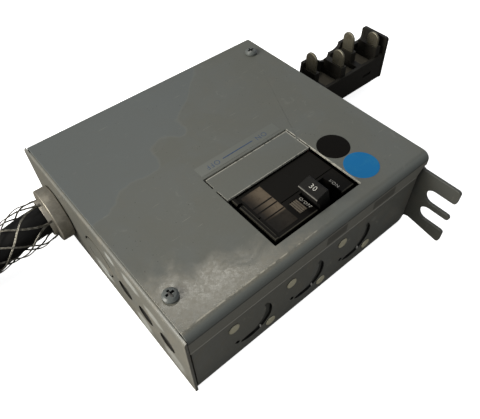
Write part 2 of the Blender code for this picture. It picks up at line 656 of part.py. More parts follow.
def terminals():
    """Lugs on the straps, one pair at each end of the breaker, with a round wire way."""
    for number, y in enumerate(POLE_Y, 1):
        for kind, low_x, high_x in (("line", CASE_X[1] + GAP, CASE_X[1] + 9 * MM),
                                    ("load", CASE_X[0] - 10 * MM, CASE_X[0] - GAP)):
            lug = block("%s_lug_%d" % (kind, number), (low_x, y - 5 * MM, STRAP_Z[1] + GAP),
                        (high_x, y + 5 * MM, STRAP_Z[1] + 11 * MM), BRASS)
            soften(lug, 0.8 * MM, 1)


def breaker_rail():
    """Folded rail under the breaker, standing on the back panel."""
    low = SHEET + GAP
    top = CASE_LOW - GAP
    inset = 8 * MM
    outline = [(CASE_Y[0] - 5 * MM, low), (CASE_Y[0] + inset, low), (CASE_Y[0] + inset, top - SHEET),
               (CASE_Y[1] - inset, top - SHEET), (CASE_Y[1] - inset, low), (CASE_Y[1] + 5 * MM, low),
               (CASE_Y[1] + 5 * MM, low + SHEET), (CASE_Y[1] - inset + SHEET, low + SHEET),
               (CASE_Y[1] - inset + SHEET, top), (CASE_Y[0] + inset - SHEET, top),
               (CASE_Y[0] + inset - SHEET, low + SHEET), (CASE_Y[0] - 5 * MM, low + SHEET)]
    plate("breaker_rail", outline, "X", CASE_X[0] + 8 * MM, CASE_X[1] - 8 * MM, ZINC)


def bars():
    """Ground bar and neutral block standing on the back panel."""
    low = SHEET + GAP
    ground = block("ground_bar", (-20 * MM, 63 * MM, low), (20 * MM, 73 * MM, low + 10 * MM), BRASS)
    soften(ground, 0.6 * MM, 1)
    for number, x in enumerate((-12 * MM, 12 * MM), 1):
        hole = rod("ground_hole", (x, 68 * MM, low + 10 * MM), SCREW_SHANK / 2 + GAP, 18 * MM, sides=20)
        cut(ground, hole)
        pan_head_screw("ground_screw_%d" % number, (x, 68 * MM, low + 10 * MM + GAP))
    neutral = block("neutral_block", (25 * MM, 49 * MM, low), (45 * MM, 59 * MM, low + 14 * MM), BRASS)
    soften(neutral, 0.8 * MM, 1)


def stab_head():
    """Moulded head: a trough with cross partitions that hold four upright blades."""
    face = RIGHT_X + GAP
    low_y, high_y = HEAD_Y
    head = block("stab_head", (face + MM, low_y, HEAD_LOW), (HEAD_END - MM, high_y, HEAD_SIDE), BLACK)
    flange = block("head_flange", (face, low_y - HEAD_LUG, HEAD_LOW - 3 * MM),
                   (face + HEAD_FLANGE, high_y + HEAD_LUG, HEAD_LOW + 26 * MM))
    corner = 4 * MM
    proud = 0.2 * MM
    end_low = low_y - proud
    end_high = high_y + proud
    end_outline = [(end_low, HEAD_LOW - proud), (end_high, HEAD_LOW - proud)]
    end_outline += arc((end_high - corner / 2, HEAD_TOP - corner / 2), corner / 2, 0, 90, 4)
    end_outline += arc((end_low + corner / 2, HEAD_TOP - corner / 2), corner / 2, 90, 180, 4)
    end = plate("head_end", end_outline, "X", HEAD_END - HEAD_WALL, HEAD_END)
    back_outline = [(face + 2 * MM, HEAD_LOW + MM), (HEAD_END - 1.5 * MM, HEAD_LOW + MM),
                    (HEAD_END - 1.5 * MM, HEAD_CREST)]
    for left, right in zip(reversed(BLADE_X[:-1]), reversed(BLADE_X[1:])):
        half = (right - left) / 2 - PARTITION / 2
        middle = (left + right) / 2
        for angle in range(0, 181, 20):
            dip = HEAD_SADDLE * sin(radians(angle)) ** 0.7
            back_outline.append((middle + half * cos(radians(angle)), HEAD_CREST - dip))
    tab_left = BLADE_X[0] - PARTITION / 2
    back_outline += [(tab_left, HEAD_CREST), (tab_left - MM, HEAD_SIDE + 2 * MM),
                     (face + 2 * MM, HEAD_SIDE + MM)]
    back = plate("head_back", back_outline, "Y", high_y - HEAD_WALL, high_y + proud / 2)
    fuse(head, flange, end, back)
    edges = (RIGHT_X + 16 * MM,) + BLADE_X + (HEAD_END - HEAD_WALL - PARTITION / 2 + 2 * MM,)
    for left, right in zip(edges, edges[1:]):
        low_x = left + PARTITION / 2
        high_x = right - PARTITION / 2
        if high_x - low_x > 3 * MM:
            cut(head, block("head_pocket", (low_x, low_y + HEAD_WALL, HEAD_FLOOR),
                            (high_x, high_y - HEAD_WALL - proud, HEAD_TOP + MM)))
    for x, y in zip(BLADE_X, BLADE_Y):
        half = BLADE_WIDTH / 2 + 1.5 * MM
        tab_low = max(low_y + HEAD_WALL - MM, y - half)
        tab_high = high_y - MM if y > BLADE_Y[1] else y + half + 5 * MM
        tab_half = PARTITION / 2 - proud
        tab = block("blade_tab", (x - tab_half, tab_low, HEAD_SIDE - 2 * MM),
                    (x + tab_half, tab_high, HEAD_TAB - proud))
        fuse(head, tab)
    for x, y in zip(BLADE_X, BLADE_Y):
        half = BLADE_WIDTH / 2 + GAP
        thick = BLADE_THICK / 2 + GAP
        cut(head, block("blade_way", (x - thick, y - half, BLADE_FOOT - GAP),
                        (x + thick, y + half, HEAD_TOP + MM)))
    middle_y = (low_y + high_y) / 2
    for offset in (-LEAD_STEP, 0, LEAD_STEP):
        spot = (RIGHT_X + 7 * MM, middle_y + offset, HEAD_AXIS)
        cut(head, rod("lead_way", spot, LEAD / 2 + 0.7 * MM, 16 * MM, "X", sides=16))
    cut(head, block("head_slit", (HEAD_SLIT_X[0], low_y - MM, HEAD_SLIT_Z[0]),
                    (HEAD_SLIT_X[1], low_y + 1.2 * MM, HEAD_SLIT_Z[1])))
    for number, y in enumerate((low_y - HEAD_SCREW_OUT, high_y + HEAD_SCREW_OUT), 1):
        spot = (face + HEAD_FLANGE + GAP, y, HEAD_AXIS)
        cut(head, rod("flange_screw_way", spot, SCREW_SHANK / 2 + GAP, 20 * MM, "X", sides=20))
        pan_head_screw("head_screw_%d" % number, spot, (0, pi / 2, 0))
    weld(head)
    for number, (x, y, tip) in enumerate(zip(BLADE_X, BLADE_Y, BLADE_TIPS), 1):
        half = BLADE_WIDTH / 2
        outline = [(y - half, BLADE_FOOT), (y + half, BLADE_FOOT)]
        outline += arc((y, tip - half), half, 0, 180, 12)
        faces = (x - BLADE_THICK / 2, x + BLADE_THICK / 2)
        blade = plate("stab_blade_%d" % number, outline, "X", *faces, SILVER)
        soften(blade, 0.35 * MM, 1, 60)


def gland():
    """Screw-in cord gland: ring body, inside locknut, rubber bushing and grip collar."""
    wall = LEFT_X
    centre = (0, GLAND_Y, GLAND_Z)
    outer = wall - GAP
    mouth = outer - GLAND_LENGTH
    inside = wall + 10 * MM
    body = [(inside, BORE_RADIUS), (inside, HUB_RADIUS), (outer, HUB_RADIUS),
            (outer, GLAND_RADIUS - GLAND_EDGE), (outer - GLAND_EDGE, GLAND_RADIUS),
            (mouth + GLAND_EDGE, GLAND_RADIUS), (mouth, GLAND_RADIUS - GLAND_EDGE), (mouth, BORE_RADIUS)]
    turned("gland_body", body, centre, "X", ZINC, 32)
    nut_low = wall + SHEET + GAP
    nut = [(nut_low, HUB_RADIUS + GAP), (nut_low, 18 * MM), (nut_low + 3 * MM, 18 * MM),
           (nut_low + 4 * MM, 17 * MM), (nut_low + 4 * MM, HUB_RADIUS + GAP)]
    locknut = turned("gland_locknut", nut, centre, "X", ZINC, 24)
    for step in range(6):
        angle = 2 * pi * step / 6
        spot = (nut_low + 2 * MM, GLAND_Y + 18 * MM * cos(angle), GLAND_Z + 18 * MM * sin(angle))
        cut(locknut, rod("nut_notch", spot, 2 * MM, 8 * MM, "X", sides=12))
    weld(locknut)
    rubber = [(inside - MM, CORD / 2 + GAP), (inside - MM, BORE_RADIUS - GAP),
              (mouth + 3 * MM, BORE_RADIUS - GAP), (mouth + 3 * MM, CORD / 2 + GAP)]
    turned("gland_bushing", rubber, centre, "X", RUBBER, 24)
    collar = [(mouth + 2.4 * MM, BORE_RADIUS - 1.2 * MM), (mouth + 2.4 * MM, BORE_RADIUS - GAP),
              (mouth - COLLAR_REACH, BORE_RADIUS - GAP), (mouth - COLLAR_REACH, BORE_RADIUS - 1.2 * MM)]
    turned("grip_collar", collar, centre, "X", ZINC, 24)
    return mouth - COLLAR_REACH


def coil_points():
    """A flat two-layer coil: in on the floor layer, up in half a turn, and out again on top."""
    steps = round(COIL_TURNS * LOOP_POINTS)
    climb = LOOP_POINTS // 2
    total = 2 * steps + climb
    points = []
    for step in range(total + 1):
        angle = pi / 2 + 2 * pi * step / LOOP_POINTS
        if step <= steps:
            depth = step / LOOP_POINTS
            layer = 0.0
        elif step <= steps + climb:
            depth = (steps + min(step - steps, steps + climb - step)) / LOOP_POINTS
            layer = (1 - cos(pi * (step - steps) / climb)) / 2
        else:
            depth = (total - step) / LOOP_POINTS
            layer = 1.0
        radius = COIL_RADIUS - COIL_PITCH * depth
        height = CORD_REST + CORD_STEP * layer
        points.append(COIL_CENTRE + Vector((radius * cos(angle), radius * sin(angle), height)))
    lead_in = points[0] + Vector((CORD, 0, 0))
    last = points[-1]
    heading = last - points[-2]
    heading.z = 0
    heading = Matrix.Rotation(pi / LOOP_POINTS, 3, "Z") @ heading.normalized()
    tail = [last + heading * TAIL_RUN / 2, last + heading * TAIL_RUN]
    return [lead_in] + points + tail, heading


def least_gap(points, width):
    """Least clear distance between runs of one tube that are over three widths apart along it."""
    least = 1.0
    skip = ceil(3 * width / (points[5] - points[4]).length)
    fine = []
    for a, b in zip(points, points[1:]):
        for part in range(4):
            fine.append(a.lerp(b, part / 4))
    for first in range(len(fine)):
        for other in range(first + skip * 4, len(fine)):
            least = min(least, (fine[first] - fine[other]).length - width)
    return least


def mesh_grip(route):
    """Woven wire sleeve round the cord: one lattice of diamonds along its route."""
    fractions = [row / GRIP_ROWS for row in range(GRIP_ROWS + 1)]

    def place(share, angle):
        walk = share * GRIP_LENGTH
        here = route[0]
        heading = Vector((-1, 0, 0))
        for a, b in zip(route, route[1:]):
            length = (b - a).length
            if walk <= length:
                here = a.lerp(b, walk / length)
                heading = (b - a).normalized()
                break
            walk -= length
        up = Vector((0, 0, 1))
        side = up.cross(heading).normalized()
        top = heading.cross(side)
        radius = CORD / 2 + GRIP_WIRE / 2 + GAP + GRIP_CLEAR + GRIP_FLARE * (1 - share)
        return here + radius * (cos(angle) * side + sin(angle) * top)

    def build(shape):
        rings = []
        for row, share in enumerate(fractions):
            offset = pi / GRIP_STRANDS * (row % 2)
            rings.append([shape.verts.new(place(share, 2 * pi * k / GRIP_STRANDS + offset))
                          for k in range(GRIP_STRANDS)])
        for row in range(GRIP_ROWS - 1):
            for k in range(GRIP_STRANDS):
                side = k if row % 2 else k - 1
                left = rings[row + 1][side % GRIP_STRANDS]
                right = rings[row + 1][(side + 1) % GRIP_STRANDS]
                shape.faces.new((rings[row][k], right, rings[row + 2][k], left))

    grip = add_object("mesh_grip", build, ZINC)
    wires = grip.modifiers.new("wires", "WIREFRAME")
    wires.thickness = GRIP_WIRE
    wires.use_even_offset = False
    wires.use_boundary = True
    wires.use_replace = True


def cord_drop(mouth):
    """The cord out of the gland, down to the floor and into its tied coil, with a connector."""
    entry = Vector((COIL_CENTRE.x + CORD, GLAND_Y, CORD_REST))
    drop = [(CORD_START, GLAND_Z), (-92 * MM, GLAND_Z), (-106 * MM, 24 * MM), (-120 * MM, 21.3 * MM),
            (-134 * MM, 17.7 * MM), (-148 * MM, 14.1 * MM), (-162 * MM, 11.4 * MM), (-176 * MM, CORD_REST),
            (-206 * MM, CORD_REST), (-236 * MM, CORD_REST), (entry.x + GAP, CORD_REST)]
    route = [(x, GLAND_Y, z) for x, z in drop]
    even, length = smooth_route(route, 9 * MM)
    tube("cord_drop", even, CORD / 2, RUBBER, 3)
    loops, heading = coil_points()
    tube("cord_coil", loops, CORD / 2, RUBBER, 1)
    coiled = sum((b - a).length for a, b in zip(loops, loops[1:]))
    print("cord length %.4f m, least coil gap %.2f mm" % (length + coiled, least_gap(loops, CORD) / MM))
    beyond = [point for point in even if point.x < mouth - 2 * MM]
    mesh_grip(beyond)

    end = loops[-1]
    turn = Matrix.Translation(end + heading * GAP) @ heading.to_track_quat("Z", "Y").to_matrix().to_4x4()
    shell = [(0, 0), (0, 15 * MM), (4 * MM, 17 * MM), (18 * MM, 19 * MM), (26 * MM, 25 * MM),
             (34 * MM, CONNECTOR_RADIUS), (CONNECTOR_LENGTH - 20 * MM, CONNECTOR_RADIUS),
             (CONNECTOR_LENGTH - 20 * MM, 0)]
    body = turned("connector_body", shell, (0, 0, 0), "Z", BLACK, 24)
    body.matrix_world = turn
    low = CONNECTOR_LENGTH - 20 * MM + GAP
    front = [(low, 0), (low, CONNECTOR_RADIUS - MM), (CONNECTOR_LENGTH - MM, CONNECTOR_RADIUS - MM),
             (CONNECTOR_LENGTH, CONNECTOR_RADIUS - 2 * MM), (CONNECTOR_LENGTH, 0)]
    face = turned("connector_face", front, (0, 0, 0), "Z", BLACK, 24)
    face.matrix_world = turn
    for step in range(4):
        angle = pi / 4 + step * pi / 2
        slot = plate("face_slot", arc((0, 0), 17 * MM, -12, 12, 4) + arc((0, 0), 14.6 * MM, 12, -12, 4), "Z",
                     CONNECTOR_LENGTH - 10 * MM, CONNECTOR_LENGTH + MM)
        slot.parent = face
        slot.rotation_euler = (0, 0, angle)
        cut(face, slot)
    weld(face)
    coil_tie(loops)


def coil_tie(loops):
    """Fabric strap round the bundle on the coil's far side."""
    centre = COIL_CENTRE
    near = [point for point in loops if abs(point.x - centre.x) < TIE_WIDTH and point.y < centre.y]
    widest = max((point - centre).xy.length for point in near)
    slack = 2.2 * MM
    low_y = centre.y - widest - CORD / 2 - 2 * GAP
    high_y = max(point.y for point in near) + CORD / 2 + 2 * GAP + slack
    low_z = CORD_REST - CORD / 2 - GAP
    high_z = max(point.z for point in near) + CORD / 2 + GAP
    corner = 6 * MM

    def loop(inset, steps):
        edge = corner + inset
        a, b, c, d = low_y - inset, high_y + inset, low_z - inset, high_z + inset
        points = arc((b - edge, c + edge), edge, -90, 0, steps)
        points += arc((b - edge, d - edge), edge, 0, 90, steps)
        points += arc((a + edge, d - edge), edge, 90, 180, steps)
        return points + arc((a + edge, c + edge), edge, 180, 270, steps)

    edges = (centre.x - TIE_WIDTH / 2, centre.x + TIE_WIDTH / 2)
    strap = plate("coil_tie", loop(TIE_SHEET, 4), "X", *edges, TIE_FABRIC)
    cut(strap, plate("tie_inside", loop(0, 4), "X", centre.x - TIE_WIDTH, centre.x + TIE_WIDTH))


def leads():
    """Insulated conductors inside the box, from the cord and the head to their terminals."""
    jacket = CORD_START + GAP
    core = 2.6 * MM
    high = GLAND_Z + core
    low = GLAND_Z - core
    lug_z = STRAP_Z[1] + 6 * MM
    load_end = CASE_X[0] - 10 * MM - GAP
    line_end = CASE_X[1] + 9 * MM + GAP
    inlet = RIGHT_X + 13 * MM
    passage = RIGHT_X + 2 * MM
    head_y = (HEAD_Y[0] + HEAD_Y[1]) / 2
    bar_z = SHEET + 8 * MM
    routes = {
        "load_lead_1": ("black", [
            (jacket, GLAND_Y - core, high), (-64 * MM, 50 * MM, high), (-59 * MM, 36 * MM, 25 * MM),
            (-58 * MM, 0, 21 * MM), (-57.5 * MM, -40 * MM, lug_z), (-52 * MM, -56 * MM, lug_z),
            (load_end, POLE_Y[0], lug_z)]),
        "load_lead_2": ("red", [
            (jacket, GLAND_Y + core, high), (-60 * MM, 55 * MM, high), (-50.5 * MM, 40 * MM, 24 * MM),
            (-49 * MM, 0, 21 * MM), (-48.5 * MM, -26 * MM, lug_z), (-46 * MM, -38 * MM, lug_z),
            (load_end, POLE_Y[1], lug_z)]),
        "neutral_lead": ("white", [
            (jacket, GLAND_Y - core, low), (-60 * MM, 50 * MM, 19 * MM), (-40 * MM, 52 * MM, 13 * MM),
            (0, 54 * MM, bar_z), (25 * MM - GAP, 54 * MM, bar_z)]),
        "ground_lead": ("green", [
            (jacket, GLAND_Y + core, low), (-62 * MM, 59 * MM, 18 * MM), (-42 * MM, 66 * MM, 10 * MM),
            (-20 * MM - GAP, 68 * MM, 7 * MM)]),
        "line_lead_1": ("black", [
            (inlet, head_y - LEAD_STEP, HEAD_AXIS), (passage, head_y - LEAD_STEP, HEAD_AXIS),
            (81 * MM, head_y - 7.6 * MM, HEAD_AXIS), (76.5 * MM, 20 * MM, HEAD_AXIS),
            (76 * MM, -20 * MM, lug_z), (74 * MM, -50 * MM, lug_z), (line_end, POLE_Y[0], lug_z)]),
        "line_lead_2": ("red", [
            (inlet, head_y, HEAD_AXIS), (passage, head_y, HEAD_AXIS), (78 * MM, head_y - 2 * MM, HEAD_AXIS),
            (67.5 * MM, 22 * MM, HEAD_AXIS), (67.5 * MM, -20 * MM, lug_z), (66 * MM, -36 * MM, lug_z),
            (line_end, POLE_Y[1], lug_z)]),
        "neutral_feed": ("white", [
            (inlet, head_y + LEAD_STEP, HEAD_AXIS), (passage, head_y + LEAD_STEP, HEAD_AXIS),
            (76 * MM, head_y + 6.6 * MM, HEAD_AXIS), (62 * MM, 51 * MM, 14 * MM),
            (45 * MM + GAP, 54 * MM, bar_z)]),
    }
    for name, (colour, points) in routes.items():
        stub = Vector((6 * MM if points[0][0] < 0 else -6 * MM, 0, 0))
        squared = [points[0], Vector(points[0]) + stub, *points[1:-1], Vector(points[-1]) - stub, points[-1]]
        even, _ = smooth_route(squared, 5 * MM)
        tube(name, even, LEAD / 2, LEAD_COLOURS[colour], 1)


base_pan()
mounting_end_plate()
cover()
for screw_number, screw_spot in enumerate(COVER_SCREWS, 1):
    pan_head_screw("cover_screw_%d" % screw_number, (*screw_spot, BOX_HEIGHT + GAP))
hole_plugs()
breaker_case()
breaker_handle()
contact_set()
terminals()
breaker_rail()
bars()
stab_head()
cord_drop(gland())
leads()
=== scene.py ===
"""Looks of the plug-in tap-off breaker box: pieces, finishes, cord, marks, floor, light and camera."""
from contextlib import contextmanager
from functools import reduce
from math import ceil, cos, pi, radians, sin
from operator import mul

import bpy
from mathutils import Matrix, Vector


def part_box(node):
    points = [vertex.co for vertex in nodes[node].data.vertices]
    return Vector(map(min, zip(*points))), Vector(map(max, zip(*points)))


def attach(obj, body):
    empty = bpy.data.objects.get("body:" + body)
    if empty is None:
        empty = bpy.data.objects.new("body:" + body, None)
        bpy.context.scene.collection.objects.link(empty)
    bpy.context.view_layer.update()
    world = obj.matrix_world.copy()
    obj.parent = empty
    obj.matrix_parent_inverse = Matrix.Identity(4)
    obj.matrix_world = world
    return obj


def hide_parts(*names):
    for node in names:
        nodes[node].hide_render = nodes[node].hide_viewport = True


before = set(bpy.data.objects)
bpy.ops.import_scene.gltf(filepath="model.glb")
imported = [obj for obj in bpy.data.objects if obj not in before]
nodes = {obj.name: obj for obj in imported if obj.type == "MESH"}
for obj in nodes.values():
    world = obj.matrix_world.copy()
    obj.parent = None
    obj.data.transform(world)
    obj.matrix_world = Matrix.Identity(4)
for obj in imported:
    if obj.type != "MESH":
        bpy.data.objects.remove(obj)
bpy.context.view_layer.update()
MM = 0.001
TOUCHING = 0.01 * MM
SLIVER = 0.02 * MM
HAIR = 0.002 * MM


# Modelling by hand

def take(*pieces):
    """Selects these objects alone, with the first one active."""
    bpy.ops.object.select_all(action="DESELECT")
    for piece in pieces:
        piece.select_set(True)
    bpy.context.view_layer.objects.active = pieces[0]


@contextmanager
def editing(piece):
    """Edit mode on one piece, with all of its mesh selected."""
    take(piece)
    bpy.ops.object.mode_set(mode="EDIT")
    bpy.ops.mesh.select_all(action="SELECT")
    yield
    bpy.ops.object.mode_set(mode="OBJECT")


def modify(piece, kind, **settings):
    """Adds a modifier and applies it."""
    take(piece)
    change = piece.modifiers.new(kind.lower(), kind)
    for key, value in settings.items():
        setattr(change, key, value)
    bpy.ops.object.modifier_apply(modifier=change.name)


def discard(piece):
    """Removes a cutter that has done its work."""
    take(piece)
    bpy.ops.object.delete()


def settle(piece, name, finish, stands_for=(), body="box", smooth=35):
    """Puts a finished piece's place in its mesh, paints it, and rides it on its body."""
    take(piece)
    bpy.ops.object.transform_apply(location=True, rotation=True, scale=True)
    if smooth and piece.type == "MESH":
        bpy.ops.object.shade_smooth_by_angle(angle=radians(smooth))
        modify(piece, "WEIGHTED_NORMAL", keep_sharp=True)
    piece.name = name
    piece.data.materials.clear()
    piece.data.materials.append(finishes[finish])
    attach(piece, body)
    if stands_for:
        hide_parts(*stands_for)
    return piece


def refined(node, finish, edge, segments=2, body="box", cutter=None):
    """A merged copy of a CAD node with rounded edges and finer cuts, which stands for that node."""
    piece = bpy.data.objects.new(node + "_fine", nodes[node].data.copy())
    bpy.context.scene.collection.objects.link(piece)
    with editing(piece):
        bpy.ops.mesh.remove_doubles(threshold=TOUCHING)
    if cutter:
        modify(piece, "BOOLEAN", object=cutter, operation="DIFFERENCE", solver="EXACT")
        discard(cutter)
    with editing(piece):
        bpy.ops.mesh.remove_doubles(threshold=SLIVER)
        bpy.ops.mesh.dissolve_limited(angle_limit=radians(0.5))
        bpy.ops.mesh.vert_connect_concave()
    modify(piece, "BEVEL", width=edge, segments=segments, limit_method="ANGLE", angle_limit=radians(30),
           use_clamp_overlap=True, miter_outer="MITER_ARC", harden_normals=False)
    return settle(piece, node + "_fine", finish, (node,), body)


def lathe(outline, centre, axis, steps):
    """A closed turned piece from (along, radius) points, spun round an axis through centre."""
    bpy.ops.object.select_all(action="DESELECT")
    mesh = bpy.data.meshes.new("turned")
    points = [(radius, 0, along) for along, radius in outline]
    mesh.from_pydata(points, [(k, k + 1) for k in range(len(points) - 1)], [])
    piece = bpy.data.objects.new("turned", mesh)
    bpy.context.scene.collection.objects.link(piece)
    with editing(piece):
        bpy.ops.mesh.spin(steps=steps, angle=2 * pi, center=(0, 0, 0), axis=(0, 0, 1))
        bpy.ops.mesh.remove_doubles(threshold=HAIR)
        bpy.ops.mesh.select_all(action="SELECT")
        bpy.ops.mesh.normals_make_consistent(inside=False)
    turn = Vector(axis).to_track_quat("Z", "Y").to_matrix().to_4x4()
    piece.matrix_world = Matrix.Translation(centre) @ turn
    return piece


def joined(pieces):
    """One object made of several."""
    take(*pieces)
    bpy.ops.object.join()
    return pieces[0]


# Shader writing

def tone(red, green, blue):
    """A colour as it shows on screen, 0 to 255 a channel, as the shader's linear colour."""
    def linear(level):
        share = level / 255
        return share / 12.92 if share <= 0.04045 else ((share + 0.055) / 1.055) ** 2.4
    return (linear(red), linear(green), linear(blue), 1.0)


class Shade:
    """A socket of a node tree, with operators, so that shader maths reads as Python."""

    def __init__(self, wiring, socket):
        self.wiring = wiring
        self.socket = socket

    def math(self, operation, first, second=0.0):
        return self.wiring.node("ShaderNodeMath", {"operation": operation}, {0: first, 1: second})

    def __add__(self, other):
        return self.math("ADD", self, other)

    def __sub__(self, other):
        return self.math("SUBTRACT", self, other)

    def __rsub__(self, other):
        return self.math("SUBTRACT", other, self)

    def __mul__(self, other):
        return self.math("MULTIPLY", self, other)

    def __truediv__(self, other):
        return self.math("DIVIDE", self, other)

    def __pow__(self, other):
        return self.math("POWER", self, other)

    def __abs__(self):
        return self.math("ABSOLUTE", self)

    def most(self, other):
        return self.math("MAXIMUM", self, other)

    __radd__ = __add__
    __rmul__ = __mul__


class Wiring:
    """A node tree being written."""

    def __init__(self, tree):
        self.tree = tree

    def node(self, kind, settings=None, sockets=None, out=0):
        made = self.tree.nodes.new(kind)
        for key, value in (settings or {}).items():
            setattr(made, key, value)
        for key, value in (sockets or {}).items():
            self.feed(made.inputs[key], value)
        return Shade(self, made.outputs[out])

    def feed(self, socket, value):
        if isinstance(value, Shade):
            self.tree.links.new(value.socket, socket)
        else:
            socket.default_value = value

    def mix(self, share, first, second):
        return self.node("ShaderNodeMix", {"data_type": "RGBA"}, {0: share, 6: first, 7: second}, out=2)


class Finish(Wiring):
    """A material being written, round one Principled shader."""

    def __init__(self, name, fixed=None):
        self.material = bpy.data.materials.new(name)
        self.material.use_nodes = True
        super().__init__(self.material.node_tree)
        self.shader = self.tree.nodes["Principled BSDF"]
        self.place = self.node("ShaderNodeTexCoord", out="Object")
        self.wear(fixed or {})

    def wear(self, sockets):
        """Sets or links sockets of the Principled shader."""
        for key, value in sockets.items():
            self.feed(self.shader.inputs[key], value)

    def axis(self, letter):
        return self.node("ShaderNodeSeparateXYZ", None, {0: self.place}, out=letter)

    def turned(self, stretch, turn=(0, 0, 0)):
        """The place on the piece, turned and stretched."""
        return self.node("ShaderNodeMapping", None,
                         {"Vector": self.place, "Rotation": turn, "Scale": stretch})

    def stirred(self, size, amount):
        """The place on the piece, pushed about by noise so that edges wander."""
        push = self.node("ShaderNodeTexNoise", None, {"Vector": self.place, "Scale": 1 / size}, out="Color")
        return self.node("ShaderNodeVectorMath", {"operation": "MULTIPLY_ADD"},
                         {0: push, 1: (amount, amount, amount), 2: self.place})

    def corner(self, low, high):
        """Eases on concave (low above high) or convex (low below high) edges."""
        return self.ease(self.node("ShaderNodeNewGeometry", out="Pointiness"), low, high)

    def within(self, letter, low, high, soft):
        """One between two places on an axis, with soft ends."""
        along = self.axis(letter)
        past_low = self.ease(along, low - soft, low + soft)
        return past_low * self.ease(along, high - soft, high + soft, 1.0, 0.0)

    def inside(self, soft, **spans):
        """One inside a box, given in millimetres on the axes that bound it."""
        return reduce(mul, [self.within(letter, low * MM, high * MM, soft * MM)
                            for letter, (low, high) in spans.items()])

    def blots(self, spots, ragged):
        """One inside any of the soft patches, given as centre and reach on Y and Z in millimetres."""
        along, height = self.axis("Y"), self.axis("Z")
        torn = (self.noise(ragged, 4, 0.6) - 0.5) * 1.6
        patches = []
        for y, z, reach_y, reach_z in spots:
            off = ((along - y * MM) / (reach_y * MM)) ** 2 + ((height - z * MM) / (reach_z * MM)) ** 2
            patches.append(self.ease(off + torn, 0.35, 1.15, 1.0, 0.0))
        return reduce(Shade.most, patches)

    def noise(self, size, detail=3.0, rough=0.55, at=None, warp=0.0):
        """Soft noise from 0 to 1 with features of about that size in metres."""
        return self.node("ShaderNodeTexNoise", None,
                         {"Vector": at or self.place, "Scale": 1 / size, "Detail": detail,
                          "Roughness": rough, "Distortion": warp})

    def cells(self, size, at=None, feature="F1"):
        """Distance to scattered points about that far apart."""
        return self.node("ShaderNodeTexVoronoi", {"feature": feature},
                         {"Vector": at or self.place, "Scale": 1 / size, "Randomness": 1.0})

    def ease(self, value, low, high, bottom=0.0, top=1.0):
        """Eases from bottom to top as value goes from low to high."""
        return self.node("ShaderNodeMapRange", {"interpolation_type": "SMOOTHSTEP"},
                         {0: value, 1: low, 2: high, 3: bottom, 4: top})

    def bump(self, height, depth, strength=1.0):
        return self.node("ShaderNodeBump", None, {"Height": height, "Distance": depth, "Strength": strength})


# Where marks and painted light and shade lie, as spans in millimetres on the axes that bound them

SHADED_SLIT_SIDES = {"X": (-80, 84), "Y": (-78.1, -76), "Z": (5, 40)}
FRONT_FACE = {"Y": (-78.8, -78.2)}
FRONT_SHEET = {"Y": (-79, -78)}
UNDER_LIP = {"Z": (42.6, 46)}
SHADED_GLAND_WALL_CUTS = {"X": (-84.9, -83), "Y": (-74, 24), "Z": (8, 46)}
GLAND_WALL_RUNS = ((-14, 48, 5, 4), (6, 14, 10, 7), (-34, 48, 8, 5), (-35, 9, 8, 8), (-52, 40, 9, 5),
                   (-64, 12, 10, 9))
SCRATCH_AND_GLINT_LINE = {"Y": (-75.7, -75.1)}
BEND_REFLECTION = {"Z": (55, 58.6)}
CREASE_SHADOW = {"Z": (54.2, 55)}
LIP_EDGE_WEAR_AND_HIGHLIGHT = {"Z": (44.2, 45.1)}
LIP_TAPES = ({"X": (4, 19), "Z": (46.5, 53)}, {"X": (40, 58), "Z": (46.5, 53)})
WINDOW_CUTS = {"X": (-23, 42), "Y": (-70, -9.5)}
CUT_EDGE_HIGHLIGHTS = ({"X": (-20.9, 39.1), "Y": (-31.3, -30.7)}, {"X": (-20.9, 39.1), "Y": (-12.9, -12)},
               {"X": (40, 40.45), "Y": (-68.7, -11.2)}, {"X": (38.3, 39.25), "Y": (-31.2, -11.2)})
HANDLE_EDGE_HIGHLIGHT = ({"X": (8.5, 9.25), "Z": (65.2, 66.4)},)
NOSE_EDGE_HIGHLIGHTS = ({"X": (-19.2, -18.35), "Y": (-66, -31), "Z": (56.2, 58.5)},
              {"X": (-19.2, 39), "Y": (-66, -65.1), "Z": (55.8, 58.5)},
              {"X": (-16.9, -16.2), "Y": (-63.8, -37), "Z": (56.6, 58.5)})

# The cover screws and the wide cross in their heads

COVER_SCREWS = ((-76.1 * MM, -58.0 * MM), (76.5 * MM, 62.1 * MM))
CROSS = 4.6 * MM
CROSS_ARM = 1.4 * MM
CROSS_Z = 61.65 * MM


# Finishes

